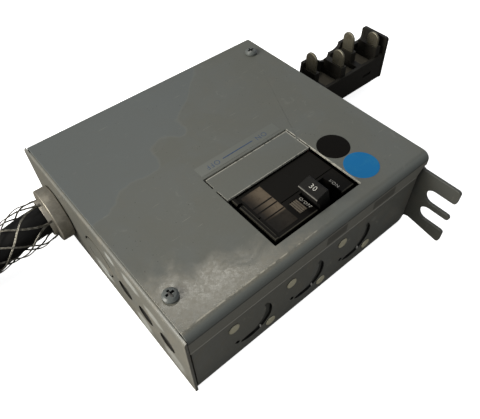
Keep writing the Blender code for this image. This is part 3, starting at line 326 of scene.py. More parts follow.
def enamel(name, grey, cool, dust, dust_amount, stain, stain_amount, rough, marks=""):
    """Semi-gloss grey enamel with dusty film, dried stains, specks, fine scratches, orange peel and painted
    shade in concave corners.
    """
    coat = Finish(name)
    clouds = coat.ease(coat.noise(46 * MM, 4, 0.6, warp=0.8), 0.4, 0.62)
    film = coat.ease(coat.noise(17 * MM, 6, 0.68, warp=1.6), 0.48, 0.66) * dust_amount
    drips = coat.ease(coat.noise(11 * MM, 8, 0.72, warp=2.2), 0.6, 0.68) * stain_amount
    specks = coat.ease(coat.cells(3.1 * MM), 0.05, 0.11, 1.0, 0.0)
    scatter = coat.ease(coat.noise(14 * MM), 0.5, 0.6)
    scratch_way = coat.turned((1, 14, 1), turn=(0, 0, radians(24)))
    scratches = coat.ease(coat.noise(12 * MM, 2, 0.4, scratch_way), 0.735, 0.76)
    corner_shade = coat.corner(0.485, 0.44)
    colour = coat.mix(clouds, grey, cool)
    colour = coat.mix(film, colour, dust)
    colour = coat.mix(drips, colour, stain)
    gloss = rough + film * 0.2 + drips * 0.18
    peel = coat.noise(1.3 * MM, 2, 0.5)
    if marks == "cover":
        colour, gloss = cover_marks(coat, colour, gloss)
    colour = coat.mix(specks * scatter * 0.75, colour, tone(38, 37, 34))
    colour = coat.mix(scratches * 0.3, colour, tone(150, 149, 140))
    # Painted shade: concave corners darkened.
    colour = coat.mix(corner_shade * 0.8, colour, tone(26, 25, 23))
    if marks == "cover":
        # Bare sheared faces and painted highlights round the window.
        colour = coat.mix(bare_cuts_and_highlights(coat), colour, tone(164, 162, 152))
    if marks == "pan":
        # Painted shade: the knockout slits' cut sides, near black.
        colour = coat.mix(coat.inside(0.08, **SHADED_SLIT_SIDES) * 0.95, colour, tone(14, 13, 12))
        # Painted shadow on the front wall just under the cover's lip.
        shaded = coat.inside(0.8, **UNDER_LIP) * coat.inside(0.05, **FRONT_SHEET)
        colour = coat.mix(shaded * 0.45, colour, tone(24, 23, 21))
        colour = gland_wall_marks(coat, colour)
    coat.wear({"Base Color": colour,
               "Roughness": gloss + scratches * 0.12 + (peel - 0.5) * 0.08,
               "Normal": coat.bump(peel + drips * 0.3, 0.035 * MM, 0.6)})
    return coat.material


def gland_wall_marks(coat, colour):
    """The gland wall with painted shade towards the back, painted light towards the front, white dried runs
    and cuts darkened as painted shade; and the front wall painted paler to the left as painted light.
    """
    outside = coat.ease(coat.axis("X"), -84.7 * MM, -84.5 * MM, 1.0, 0.0)
    # Painted shade: the gland wall darker towards the back.
    shaded = coat.ease(coat.axis("Y"), -40 * MM, 50 * MM) * outside
    colour = coat.mix(shaded * 0.5, colour, tone(78, 77, 70))
    runs = coat.blots(GLAND_WALL_RUNS, 5 * MM) * outside
    colour = coat.mix(runs * 0.75, colour, tone(178, 181, 177))
    # Painted light: the gland wall paler towards the front.
    painted_light_front = coat.ease(coat.axis("Y"), -70 * MM, -10 * MM, 1.0, 0.0) * outside
    colour = coat.mix(painted_light_front * 0.35, colour, tone(140, 137, 126))
    # Painted shade: the knockout recesses' sides darkened.
    colour = coat.mix(coat.inside(0.06, **SHADED_GLAND_WALL_CUTS) * 0.92, colour, tone(24, 23, 20))
    # Painted light: the front wall paler, most at the left.
    lit = coat.ease(coat.axis("X"), -85 * MM, 30 * MM, 0.5, 0.1)
    return coat.mix(coat.inside(0.05, **FRONT_FACE) * lit, colour, tone(138, 137, 129))


def cover_marks(coat, colour, gloss):
    """A dried, scalloped stain over the cover's back left; a cleaned, glossier patch along its front, also
    painted paler as a sheen; painted highlight, reflection, shadow and light on the bend and lip.
    """
    across, along = coat.axis("X"), coat.axis("Y")
    lobes = coat.cells(24 * MM, coat.stirred(20 * MM, 12 * MM), "SMOOTH_F1")
    ripple = (coat.noise(9 * MM, 4, 0.6) - 0.5) * (5 * MM)
    shore = 35 * MM + ((across + 3 * MM) * 1.08).most((across + 3 * MM) * 0.46)
    inland = along - shore - (lobes - 0.45) * (26 * MM) + ripple
    pool = coat.ease(inland, -0.8 * MM, 0.8 * MM)
    tide = coat.ease(abs(inland), 0.3 * MM, 1.6 * MM, 1.0, 0.0)
    colour = coat.mix(pool * 0.6, colour, tone(88, 94, 95))
    colour = coat.mix(tide * 0.15, colour, tone(114, 116, 110))
    wave = (coat.noise(15 * MM, 5, 0.6, warp=0.9) - 0.5) * (40 * MM)
    top = coat.ease(coat.axis("Z"), 57.8 * MM, 58.9 * MM)
    wiped_and_sheen = coat.ease(along + across * 0.42 + 8 * MM + wave, -80 * MM, -58 * MM, 1.0, 0.0) * top
    mottle = coat.ease(coat.noise(2.6 * MM, 5, 0.66, warp=1.0), 0.36, 0.64)
    # The cleaned patch is also painted paler and warmer: a painted sheen.
    colour = coat.mix(wiped_and_sheen * (mottle * 0.25 + 0.2), colour, tone(132, 126, 111))
    rubbed_and_highlit = coat.ease(coat.noise(5 * MM, 5, 0.65), 0.42, 0.55)
    rubbed_and_highlit = rubbed_and_highlit * coat.ease(across, -10 * MM, 15 * MM, 1.0, 0.0)
    scratch_and_glint = coat.inside(0.1, **SCRATCH_AND_GLINT_LINE) * rubbed_and_highlit
    # Painted highlight along the start of the bend, with scratches in it.
    colour = coat.mix(scratch_and_glint * top * 0.6, colour, tone(176, 172, 158))
    front = coat.ease(along, -76 * MM, -75.4 * MM, 1.0, 0.0)
    # Painted reflection: the front bend paler and bluish.
    colour = coat.mix(coat.inside(0.3, **BEND_REFLECTION) * front * 0.5, colour, tone(107, 112, 108))
    # Painted shadow line where the bend turns down into the lip.
    colour = coat.mix(coat.inside(0.3, **CREASE_SHADOW) * front * 0.5, colour, tone(40, 40, 37))
    under_bend = coat.ease(coat.axis("Z"), 54 * MM, 54.4 * MM, 1.0, 0.0)
    lip = coat.ease(along, -79.8 * MM, -79.4 * MM, 1.0, 0.0) * under_bend
    # Painted light: the lip's front face much paler than the top.
    colour = coat.mix(lip * 0.75, colour, tone(134, 132, 122))
    # Painted highlight with worn paint along the lip's lower edge.
    colour = coat.mix(coat.inside(0.1, **LIP_EDGE_WEAR_AND_HIGHLIGHT) * lip * 0.85, colour, tone(196, 194, 184))
    for tape in LIP_TAPES:
        colour = coat.mix(coat.inside(0.5, **tape) * lip * 0.55, colour, tone(40, 38, 33))
    return colour, gloss + 0.18 - wiped_and_sheen * (0.26 - mottle * 0.1)


def bare_cuts_and_highlights(coat):
    """Sheared faces round the window and the blank, painted bare and pale, which also stands as painted
    highlight; and painted highlights on the edges above them.
    """
    below = coat.ease(coat.axis("Z"), 58.6 * MM, 58.9 * MM, 1.0, 0.0)
    worn = coat.ease(coat.noise(2.4 * MM, 4, 0.6), 0.34, 0.5)
    hairline = 0.06
    # Painted highlights along the cut edges.
    rubbed_and_highlit = reduce(Shade.most, [coat.inside(hairline, **edge) for edge in CUT_EDGE_HIGHLIGHTS])
    return (coat.inside(hairline, **WINDOW_CUTS) * below * 0.7).most(rubbed_and_highlit * 0.75) * worn


def bare_zinc():
    """Dull zinc plate: grey and brown patches, bright edges from wear that also stand as painted highlight,
    and fine pitting.
    """
    metal = Finish("zinc_plate", {"Metallic": 0.75})
    patch = metal.ease(metal.noise(7 * MM, 5, 0.65, warp=1.0), 0.38, 0.66)
    pits = metal.noise(0.7 * MM, 3, 0.6)
    rubbed_and_highlit = metal.corner(0.51, 0.58)
    colour = metal.mix(patch, tone(130, 126, 114), tone(96, 92, 82))
    colour = metal.mix(metal.ease(pits, 0.62, 0.72) * 0.6, colour, tone(84, 76, 64))
    # Convex edges brightened: worn metal and painted highlight.
    colour = metal.mix(rubbed_and_highlit * 0.8, colour, tone(214, 208, 196))
    metal.wear({"Base Color": colour, "Roughness": 0.5 + patch * 0.16 - rubbed_and_highlit * 0.16,
                "Normal": metal.bump(pits, 0.05 * MM, 0.5)})
    return metal.material


def wire_steel():
    """Drawn galvanised wire, bright with grey spangle."""
    metal = Finish("galvanised_wire", {"Metallic": 1.0})
    spangle = metal.noise(2.2 * MM, 4, 0.6)
    colour = metal.mix(metal.ease(spangle, 0.35, 0.65), tone(134, 132, 124), tone(84, 82, 75))
    metal.wear({"Base Color": colour, "Roughness": 0.42 + spangle * 0.16})
    return metal.material


def plated(name, bright, dull, rough, size):
    """Plated or bare metal with tarnish in patches and fine drawn lines."""
    metal = Finish(name, {"Metallic": 1.0})
    tarnish = metal.ease(metal.noise(size, 5, 0.62, warp=0.8), 0.4, 0.68)
    lines = metal.noise(0.5 * MM, 2, 0.5, metal.turned((1, 1, 0.06)))
    colour = metal.mix(tarnish, bright, dull)
    metal.wear({"Base Color": colour, "Roughness": rough + tarnish * 0.18 + (lines - 0.5) * 0.12,
                "Normal": metal.bump(lines, 0.012 * MM, 0.5)})
    return metal.material


def moulding(name, dark, worn, rough, grain, shine=0.15, rubbed_and_highlit=(), pale=None):
    """Moulded thermoset: fine grain, dust in patches, convex edges greyed by wear and as painted highlight,
    and given edges painted pale as highlights.
    """
    plastic = Finish(name, {"Specular IOR Level": shine})
    dusty = plastic.ease(plastic.noise(9 * MM, 5, 0.65, warp=1.0), 0.48, 0.74)
    pores = plastic.noise(grain, 3, 0.6)
    colour = plastic.mix(dusty * 0.4, dark, worn)
    # Convex edges greyed: wear and painted highlight together.
    colour = plastic.mix(plastic.corner(0.52, 0.6) * 0.45, colour, worn)
    # Painted highlights: given edges painted pale.
    for edge in rubbed_and_highlit:
        colour = plastic.mix(plastic.inside(0.1, **edge) * 0.7, colour, pale)
    plastic.wear({"Base Color": colour, "Roughness": rough + dusty * 0.14 + (pores - 0.5) * 0.1,
                  "Normal": plastic.bump(pores, 0.03 * MM, 0.6)})
    return plastic.material


def painted_steel():
    """Screw heads under the cover's paint, with painted shade in the cross and in concave corners."""
    paint = Finish("painted_screw")
    chips = paint.ease(paint.noise(1.6 * MM, 5, 0.65), 0.58, 0.68)
    colour = paint.mix(chips * 0.5, tone(90, 94, 92), tone(126, 125, 118))
    crosses = [paint.within("X", x - CROSS / 2, x + CROSS / 2, 0.05 * MM)
               * paint.within("Y", y - CROSS / 2, y + CROSS / 2, 0.05 * MM) for x, y in COVER_SCREWS]
    cross_shade = reduce(Shade.most, crosses) * paint.ease(paint.axis("Z"), 61.05 * MM, 61.2 * MM, 1.0, 0.0)
    # Painted shade: the cross recess and concave corners near black.
    colour = paint.mix(cross_shade.most(paint.corner(0.5, 0.46)), colour, tone(8, 8, 7))
    paint.wear({"Base Color": colour, "Roughness": 0.36 + chips * 0.2})
    return paint.material


def label_paper():
    """Faded brown label, darker towards the ledge, with stains."""
    paper = Finish("label_paper", {"Specular IOR Level": 0.15})
    fade = paper.ease(paper.axis("X"), -14 * MM, -3 * MM)
    stain = paper.ease(paper.noise(3 * MM, 5, 0.65, warp=0.8), 0.45, 0.7)
    colour = paper.mix(fade, tone(24, 21, 18), tone(98, 87, 73))
    colour = paper.mix(stain * 0.5, colour, tone(58, 50, 40))
    plain = paper.ease(paper.axis("Y"), -54.6 * MM, -53 * MM, 1.0, 0.0)
    colour = paper.mix(plain * 0.9, colour, tone(20, 18, 15))
    paper.wear({"Base Color": colour, "Roughness": 0.5 + stain * 0.2})
    return paper.material


def rubber():
    """Matt cord jacket with a fine cloth-like grain and pale scuffs."""
    jacket = Finish("cord_jacket", {"Specular IOR Level": 0.2})
    grain = jacket.noise(0.6 * MM, 3, 0.6)
    scuff = jacket.ease(jacket.noise(12 * MM, 6, 0.7, warp=1.4), 0.56, 0.72)
    colour = jacket.mix(scuff * 0.4, tone(12, 12, 12), tone(52, 50, 47))
    jacket.wear({"Base Color": colour, "Roughness": 0.56 + scuff * 0.2,
                 "Normal": jacket.bump(grain, 0.06 * MM, 0.7)})
    return jacket.material


def printed(name, ink, faded, rough, size=5 * MM, shine=0.5):
    """Ink, film or plug plastic: one colour with worn, dirty patches."""
    layer = Finish(name, {"Specular IOR Level": shine})
    worn = layer.ease(layer.noise(size, 6, 0.7, warp=0.8), 0.5, 0.74)
    grain = layer.noise(0.5 * MM, 2, 0.5)
    layer.wear({"Base Color": layer.mix(worn * 0.75, ink, faded), "Roughness": rough + worn * 0.15,
                "Normal": layer.bump(grain, 0.012 * MM, 0.4)})
    return layer.material


def woven_tape():
    """Hook-and-loop tape: a fuzzy nap with a faint rib across."""
    tape = Finish("tie_weave")
    nap = tape.noise(0.9 * MM, 5, 0.75)
    rib = tape.node("ShaderNodeTexWave", {"wave_type": "BANDS", "bands_direction": "X"},
                    {"Vector": tape.place, "Scale": 0.16 / MM, "Distortion": 1.4, "Detail": 2.0})
    tape.wear({"Base Color": tape.mix(nap, tone(16, 16, 17), tone(46, 45, 44)), "Roughness": 0.9,
               "Normal": tape.bump(nap + rib * 0.6, 0.3 * MM, 0.8)})
    return tape.material


GREY = tone(89, 91, 85)
PAN_GREY = tone(106, 106, 99)
finishes = {
    "enamel": enamel("grey_enamel", PAN_GREY, tone(106, 107, 102), tone(122, 116, 103), 0.45,
                     tone(176, 172, 156), 0.55, 0.4, "pan"),
    "cover_enamel": enamel("cover_enamel", GREY, tone(90, 93, 89), tone(98, 97, 89), 0.25,
                           tone(128, 130, 124), 0.2, 0.32, "cover"),
    # Painted shade: the end plate's enamel, darker than the pan's; the knockout discs behind the slits use
    # it too.
    "plate_enamel": enamel("plate_enamel", tone(73, 74, 69), tone(75, 76, 72), tone(82, 78, 69), 0.3,
                           tone(110, 107, 97), 0.2, 0.42),
    "screw_steel": plated("screw_plate", tone(120, 118, 112), tone(70, 66, 60), 0.34, 2.5 * MM),
    "painted_screw": painted_steel(),
    "zinc": bare_zinc(),
    "wire": wire_steel(),
    "moulding": moulding("case_moulding", tone(7, 6, 5), tone(24, 22, 18), 0.52, 0.45 * MM, 0.1, NOSE_EDGE_HIGHLIGHTS,
                         tone(74, 72, 64)),
    "handle_black": moulding("handle_moulding", tone(17, 17, 16), tone(42, 40, 38), 0.45, 0.3 * MM,
                             rubbed_and_highlit=HANDLE_EDGE_HIGHLIGHT, pale=tone(128, 126, 120)),
    "head_black": moulding("head_moulding", tone(18, 18, 16), tone(46, 43, 37), 0.5, 0.45 * MM, 0.25),
    "head_brown": moulding("head_floor_moulding", tone(78, 74, 64), tone(94, 88, 76), 0.6, 0.6 * MM, 0.25),
    "indicator": printed("indicator_plastic", tone(90, 83, 73), tone(60, 55, 46), 0.6, 2 * MM, 0.25),
    "copper": plated("bare_copper", tone(196, 122, 86), tone(120, 68, 48), 0.32, 6 * MM),
    "brass": plated("machined_brass", tone(190, 162, 98), tone(126, 102, 60), 0.3, 5 * MM),
    "stab_silver": plated("silver_plate", tone(146, 142, 126), tone(110, 104, 88), 0.46, 4 * MM),
    "cord_rubber": rubber(),
    "connector_plastic": moulding("connector_moulding", tone(28, 28, 29), tone(66, 65, 62), 0.5, 0.6 * MM),
    "plug_cream": printed("plug_plastic", tone(206, 200, 172), tone(150, 140, 112), 0.5, 3 * MM),
    "tie_fabric": woven_tape(),
    "lead_black": printed("lead_black_jacket", tone(26, 26, 27), tone(52, 51, 49), 0.4),
    "lead_red": printed("lead_red_jacket", tone(112, 28, 25), tone(84, 26, 23), 0.5),
    "lead_white": printed("lead_white_jacket", tone(206, 204, 196), tone(160, 155, 140), 0.4),
    "lead_green": printed("lead_green_jacket", tone(36, 104, 56), tone(30, 74, 44), 0.4),
    "black_disc": printed("black_sticker", tone(9, 7, 5), tone(20, 17, 13), 0.6, shine=0.08),
    "blue_disc": printed("blue_sticker", tone(14, 103, 158), tone(32, 111, 158), 0.5, 7 * MM, 0.15),
    "white_ink": printed("white_ink", tone(214, 212, 204), tone(140, 137, 128), 0.5, 1.2 * MM),
    "blue_ink": printed("blue_ink", tone(20, 56, 96), tone(48, 72, 96), 0.5, 2 * MM),
    "nib_steel": printed("nib_steel", tone(222, 220, 212), tone(190, 186, 176), 0.4, 1 * MM),
    "label_film": label_paper(),
    "clear_film": printed("clear_film", tone(97, 100, 95), tone(91, 93, 87), 0.3, 8 * MM),
    "label_ink": printed("label_ink", tone(16, 14, 12), tone(30, 26, 22), 0.6, 1.5 * MM, 0.1),
}


# The cord, on the route that its CAD solids hold

CORD = 18 * MM
CORD_REST = CORD / 2 + 1.4 * MM
CORD_STEP = CORD + 0.7 * MM
ROUTE_STEP = 6 * MM
GLAND = Vector((-85 * MM, 53.7 * MM, 25 * MM))
COIL_RADIUS = 104 * MM
COIL_CENTRE = Vector((-283 * MM, GLAND.y - COIL_RADIUS, 0))
COIL_PITCH = CORD + 1.2 * MM
LOOP_POINTS = 24
COIL_STEPS = 30
CLIMB_STEPS = 12
TAIL_RUN = 92 * MM


def smooth_route(points, spacing):
    """Even points on a Catmull-Rom curve through chosen ones."""
    spots = [Vector(point) for point in points]
    padded = [2 * spots[0] - spots[1]] + spots + [2 * spots[-1] - spots[-2]]
    fine = []
    for index in range(1, len(padded) - 2):
        before, here, after, later = padded[index - 1:index + 3]
        steps = max(1, ceil((after - here).length / spacing))
        for step in range(steps):
            t = step / steps
            fine.append(0.5 * (2 * here + (after - before) * t
                               + (2 * before - 5 * here + 4 * after - later) * t * t
                               + (3 * here - before - 3 * after + later) * t ** 3))
    return fine + [spots[-1]]


def coil_route():
    """In on the floor layer, up in half a turn, and out again on the upper layer."""
    total = 2 * COIL_STEPS + CLIMB_STEPS
    points = []
    for step in range(total + 1):
        angle = pi / 2 + 2 * pi * step / LOOP_POINTS
        risen = min(max(step - COIL_STEPS, 0), CLIMB_STEPS)
        depth = COIL_STEPS + min(risen, CLIMB_STEPS - risen)
        if step <= COIL_STEPS:
            depth = step
        elif step >= COIL_STEPS + CLIMB_STEPS:
            depth = total - step
        layer = (1 - cos(pi * risen / CLIMB_STEPS)) / 2
        radius = COIL_RADIUS - COIL_PITCH * depth / LOOP_POINTS
        height = CORD_REST + CORD_STEP * layer
        points.append(COIL_CENTRE + Vector((radius * cos(angle), radius * sin(angle), height)))
    heading = points[-1] - points[-2]
    heading.z = 0
    heading = Matrix.Rotation(pi / LOOP_POINTS, 3, "Z") @ heading.normalized()
    return points + [points[-1] + heading * TAIL_RUN * share for share in (0.5, 1)]


def curve_tube(name, points, radius, resolution):
    """A round tube on one open spline."""
    curve = bpy.data.curves.new(name, "CURVE")
    curve.dimensions = "3D"
    curve.bevel_depth = radius
    curve.bevel_resolution = resolution
    curve.use_fill_caps = True
    spline = curve.splines.new("POLY")
    spline.points.add(len(points) - 1)
    for spot, point in zip(spline.points, points):
        spot.co = (*point, 1.0)
    made = bpy.data.objects.new(name, curve)
    bpy.context.scene.collection.objects.link(made)
    return made


DROP = ((-74, 25), (-92, 25), (-106, 24), (-120, 21.3), (-134, 17.7), (-148, 14.1), (-162, 11.4),
        (-176, 10.4), (-206, 10.4), (-236, 10.4), (-264.7, 10.4))
drop = [(x * MM, GLAND.y, z * MM) for x, z in DROP]
cord_line = smooth_route(drop + coil_route(), ROUTE_STEP)
cord = curve_tube("cord", cord_line, CORD / 2, 6)
settle(cord, "cord", "cord_rubber", ("cord_drop", "cord_coil"))


# The wire-mesh grip on the cord

GRIP_STRANDS = 6
GRIP_LENGTH = 92 * MM
GRIP_TWIST = radians(3.75) / MM
GRIP_EASE = 16.8 * MM
GRIP_PHASE = radians(30)
GRIP_START = -93.5 * MM
GRIP_FORM = ((0, 12.1), (4, 12.9), (11, 13.8), (20, 12.6), (31, 10.5), (42, 9.9), (60, 9.8), (92, 9.8))
WIRE = 0.32 * MM
PAIR_GAP = 0.34 * MM
WEAVE = 0.3 * MM
WIRE_STEPS = 132


def along_cord(walk, start):
    """The place and heading at a distance along the cord past the point where x is start."""
    ahead = [Vector((start, GLAND.y, GLAND.z))] + [point for point in cord_line if point.x < start]
    for here, after in zip(ahead, ahead[1:]):
        length = (after - here).length
        if walk <= length:
            return here.lerp(after, walk / length), (after - here).normalized()
        walk -= length
    raise ValueError("the cord is shorter than the grip")


def grip_reach(walk):
    """The grip's radius at a distance from its start, eased between listed ones."""
    for (before, small), (after, large) in zip(GRIP_FORM, GRIP_FORM[1:]):
        if walk <= after * MM:
            share = (walk / MM - before) / (after - before)
            return (small + (large - small) * share * share * (3 - 2 * share)) * MM
    return GRIP_FORM[-1][1] * MM


def grip_turn(walk):
    """How far a wire has wound round the cord at a distance from the grip's start."""
    if walk < GRIP_EASE:
        return GRIP_TWIST * walk * walk / (2 * GRIP_EASE)
    return GRIP_TWIST * (walk - GRIP_EASE / 2)


def grip_wire(start, way, side):
    """One wire of a pair, wound one way round the cord, over and under those that it crosses."""
    points = []
    for step in range(WIRE_STEPS + 1):
        walk = GRIP_LENGTH * step / WIRE_STEPS
        spot, heading = along_cord(walk, GRIP_START)
        across = Vector((0, 0, 1)).cross(heading).normalized()
        top = heading.cross(across)
        turned = grip_turn(walk)
        reach = grip_reach(walk) + way * WEAVE * cos(GRIP_STRANDS * turned)
        angle = start + way * turned + side * PAIR_GAP / reach
        points.append(spot + reach * (cos(angle) * across + sin(angle) * top))
    return curve_tube("strand", points, WIRE, 1)


def grip_wires():
    """Pairs of wires wound both ways, which bulge near the collar."""
    starts = [GRIP_PHASE + 2 * pi * strand / GRIP_STRANDS for strand in range(GRIP_STRANDS)]
    strands = [grip_wire(start, way, side) for way in (-1, 1) for start in starts for side in (-1, 1)]
    take(*strands)
    bpy.ops.object.convert(target="MESH")
    return joined(strands)


settle(grip_wires(), "grip_wires", "wire", ("mesh_grip",))


# Pieces refined from their CAD nodes

KNOCKOUTS = (-45.2, -6.3, 32.6)
KNOCKOUT_PITCH = KNOCKOUTS[1] - KNOCKOUTS[0]
KNOCKOUT_Z = 21.8
KNOCKOUT_RIM = 13.9
CRESCENT = ((-124, 11.9), (-112, 10.3), (-86, 9.2), (-57, 8.4), (-22, 8.4), (11, 9.5), (30, 11.2),
            (44, 11.9))
RIM_STEP = 4
FRONT_CUT = (-82, -74)
SADDLES = (((129.5, 44), (130.5, 37.6), (133, 34.6), (137.2, 32.5), (141.5, 32.2), (143.8, 33.2),
            (144.6, 36), (144.6, 44)),
           ((164.5, 44), (165.5, 37.2), (168.5, 33.8), (173, 32.5), (180, 32.5), (182.6, 33.2), (183.6, 35),
            (183.6, 44)))
SADDLE_CUT = (45, 51)


def prism(outline, span):
    """A cutter with an (x, z) outline, between two places on Y, in millimetres."""
    low_y, high_y = span
    mesh = bpy.data.meshes.new("cutter")
    mesh.from_pydata([(x * MM, low_y * MM, z * MM) for x, z in outline], [], [range(len(outline))])
    cutter = bpy.data.objects.new("cutter", mesh)
    bpy.context.scene.collection.objects.link(cutter)
    with editing(cutter):
        bpy.ops.mesh.extrude_region_move(TRANSFORM_OT_translate={"value": (0, (high_y - low_y) * MM, 0)})
        bpy.ops.mesh.select_all(action="SELECT")
        bpy.ops.mesh.normals_make_consistent(inside=False)
    return cutter


def crescents():
    """A cutter that opens the front knockouts' slits inwards, where the discs are pressed in."""
    first, last = CRESCENT[0][0], CRESCENT[-1][0]
    rim = [(angle, KNOCKOUT_RIM) for angle in range(last, first - 1, -RIM_STEP)]
    ring = [(radius * cos(radians(angle)), radius * sin(radians(angle)))
            for angle, radius in (*CRESCENT, *rim)]
    return joined([prism([(x + dx, KNOCKOUT_Z + dz) for dx, dz in ring], FRONT_CUT) for x in KNOCKOUTS])


def saddles():
    """A cutter for the two wide saddles in the stab head's back wall."""
    return joined([prism(outline, SADDLE_CUT) for outline in SADDLES])


def screw_cross(x, y):
    """A cutter for a wide cross recess in a cover screw."""
    arms = []
    for size in ((CROSS, CROSS_ARM, 2 * MM), (CROSS_ARM, CROSS, 2.02 * MM)):
        bpy.ops.object.select_all(action="DESELECT")
        bpy.ops.mesh.primitive_cube_add(size=1, location=(x, y, CROSS_Z))
        bpy.context.object.scale = size
        bpy.ops.object.transform_apply(location=True, rotation=True, scale=True)
        arms.append(bpy.context.object)
    modify(arms[0], "BOOLEAN", object=arms[1], operation="UNION", solver="EXACT")
    discard(arms[1])
    return arms[0]


refined("base_pan", "enamel", 0.3 * MM, 3, cutter=crescents())
refined("mounting_end_plate", "plate_enamel", 0.35 * MM, 3)
refined("cover", "cover_enamel", 0.28 * MM, 3)
refined("breaker_cover", "moulding", 0.35 * MM, 3)
refined("breaker_handle", "handle_black", 0.45 * MM, 3, "handle")
refined("stab_head", "head_black", 0.4 * MM, 2, cutter=saddles())
refined("gland_body", "zinc", 0.3 * MM, 2)
refined("grip_collar", "zinc", 0.2 * MM, 2)
refined("trip_indicator", "indicator", 0.2 * MM, 2)
refined("connector_body", "connector_plastic", 0.8 * MM, 3)
refined("connector_face", "connector_plastic", 0.4 * MM, 2)
refined("coil_tie", "tie_fabric", 0.25 * MM, 2)
for number in range(1, 5):
    refined("stab_blade_%d" % number, "stab_silver", 0.12 * MM, 2)
for number in range(1, 7):
    refined("hole_plug_%d" % number, "plug_cream", 0.15 * MM, 2)
for number, spot in enumerate(COVER_SCREWS, 1):
    refined("cover_screw_%d" % number, "painted_screw", 0.12 * MM, 2, cutter=screw_cross(*spot))
    refined("head_screw_%d" % number, "screw_steel", 0.15 * MM, 2)


# CAD nodes that stay as they are, inside the box

INNER_NODES = {
    "moulding": ("breaker_base", "contact_crossbar"),
    "screw_steel": ("handle_pin", "arm_pin", "ground_screw_1", "ground_screw_2"),
    "copper": ("contact_arm_1", "contact_arm_2", "line_strap_1", "line_strap_2", "load_strap_1",
               "load_strap_2"),
    "brass": ("line_lug_1", "line_lug_2", "load_lug_1", "load_lug_2", "ground_bar", "neutral_block"),
    "zinc": ("breaker_rail", "gland_locknut"),
    "cord_rubber": ("gland_bushing",),
    "lead_black": ("load_lead_1", "line_lead_1"),
    "lead_red": ("load_lead_2", "line_lead_2"),
    "lead_white": ("neutral_lead", "neutral_feed"),
    "lead_green": ("ground_lead",),
}
for finish, names in INNER_NODES.items():
    for node in names:
        nodes[node].data.materials.clear()
        nodes[node].data.materials.append(finishes[finish])


# Stickers, ink and small plates, with their places in millimetres

COVER_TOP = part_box("cover")[1].z / MM
LEDGE = 0.8
FACE_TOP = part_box("breaker_cover")[1].z / MM - LEDGE
TRIP_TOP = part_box("trip_indicator")[1].z / MM
INK = 0.05
FILM = 0.08
STICKER = 0.14
HANDLE_LEAN = radians(-16)
LABEL_LINES = (-43.5, -47.4, -52.7)
LABEL_LINE = 0.84
LEGEND_Y = -5.6
LEGEND_HEIGHT = 3.4


def disc_sticker(name, x, y, width):
    """A round sticker with a soft edge, in the finish of its own name."""
    reach = width / 2 * MM
    film = STICKER * MM
    outline = [(0, 0), (0, reach), (film * 0.5, reach), (film, reach - film), (film, 0)]
    piece = lathe(outline, Vector((x, y, COVER_TOP)) * MM, (0, 0, 1), 64)
    return settle(piece, name, name)


def ink_mark(name, words, finish, spot, height, turn, body="box"):
    """Flat printed characters that stand a hair off the surface, reading along their turn."""
    bpy.ops.object.select_all(action="DESELECT")
    bpy.ops.object.text_add()
    mark = bpy.context.object
    mark.data.body = words
    mark.data.size = height * MM / 0.7
    mark.data.align_x = "CENTER"
    mark.data.align_y = "CENTER"
    mark.data.extrude = INK * MM / 2
    mark.data.offset = -0.016 * mark.data.size
    mark.data.space_character = 1.15
    mark.data.resolution_u = 4
    take(mark)
    bpy.ops.object.convert(target="MESH")
    mark.matrix_world = Matrix.Translation(Vector(spot) * MM) @ turn
    with editing(mark):
        bpy.ops.mesh.remove_doubles(threshold=HAIR)
    return settle(mark, name, finish, body=body, smooth=0)


def slab(name, low, high, edge, finish, copies=1, step=0):
    """A thin plate with rounded edges, or an even row of them along X."""
    bpy.ops.object.select_all(action="DESELECT")
    low, high = Vector(low) * MM, Vector(high) * MM
    bpy.ops.mesh.primitive_cube_add(size=1, location=(low + high) / 2)
    piece = bpy.context.object
    piece.scale = high - low
    bpy.ops.object.transform_apply(location=True, rotation=True, scale=True)
    modify(piece, "BEVEL", width=edge * MM, segments=2)
    if copies > 1:
        modify(piece, "ARRAY", count=copies, use_relative_offset=False, use_constant_offset=True,
               constant_offset_displace=(step * MM, 0, 0))
    return settle(piece, name, finish)


disc_sticker("black_disc", 50.1, -39.7, 19.4)
disc_sticker("blue_disc", 50.8, -60.0, 20)

toward_front = Matrix.Rotation(-pi / 2, 4, "Z")
toward_back = Matrix.Rotation(pi, 4, "Z")
handle_top = Matrix.Rotation(HANDLE_LEAN, 4, "Y") @ toward_front
ink_mark("mark_on", "I/ON", "white_ink", (30.8, -58.5, FACE_TOP), 2.0, toward_front)
ink_mark("mark_off", "O/OFF", "white_ink", (9.6, -57.8, FACE_TOP), 1.9, toward_front)
ink_mark("mark_rating", "30", "white_ink", (13, -58.8, 67.19), 2.9, handle_top, "handle")

LABEL_TOP = FACE_TOP + FILM
slab("breaker_label", (-14.4, -63, FACE_TOP), (-0.8, -33.6, LABEL_TOP), 0.02, "label_film")
for number, y in enumerate(LABEL_LINES, 1):
    slab("label_line_%d" % number, (-14.3, y - LABEL_LINE / 2, LABEL_TOP),
         (-1, y + LABEL_LINE / 2, LABEL_TOP + INK), 0.01, "label_ink")
slab("trip_ribs", (2.75, -61.1, TRIP_TOP - 0.1), (3.55, -52.9, TRIP_TOP + 0.45), 0.12, "indicator",
     copies=4, step=1.4)

slab("knockout_nibs", (-39.3, -78.2, 9), (-38.75, -77.3, 11.4), 0.12, "nib_steel",
     copies=len(KNOCKOUTS), step=KNOCKOUT_PITCH)
slab("knockout_discs", (-58.6, -76.9, 8.4), (-31.8, -76, 35.2), 0.15, "plate_enamel",
     copies=len(KNOCKOUTS), step=KNOCKOUT_PITCH)
slab("head_floor", (103, 26.6, 20), (185, 48, 25), 0.3, "head_brown")

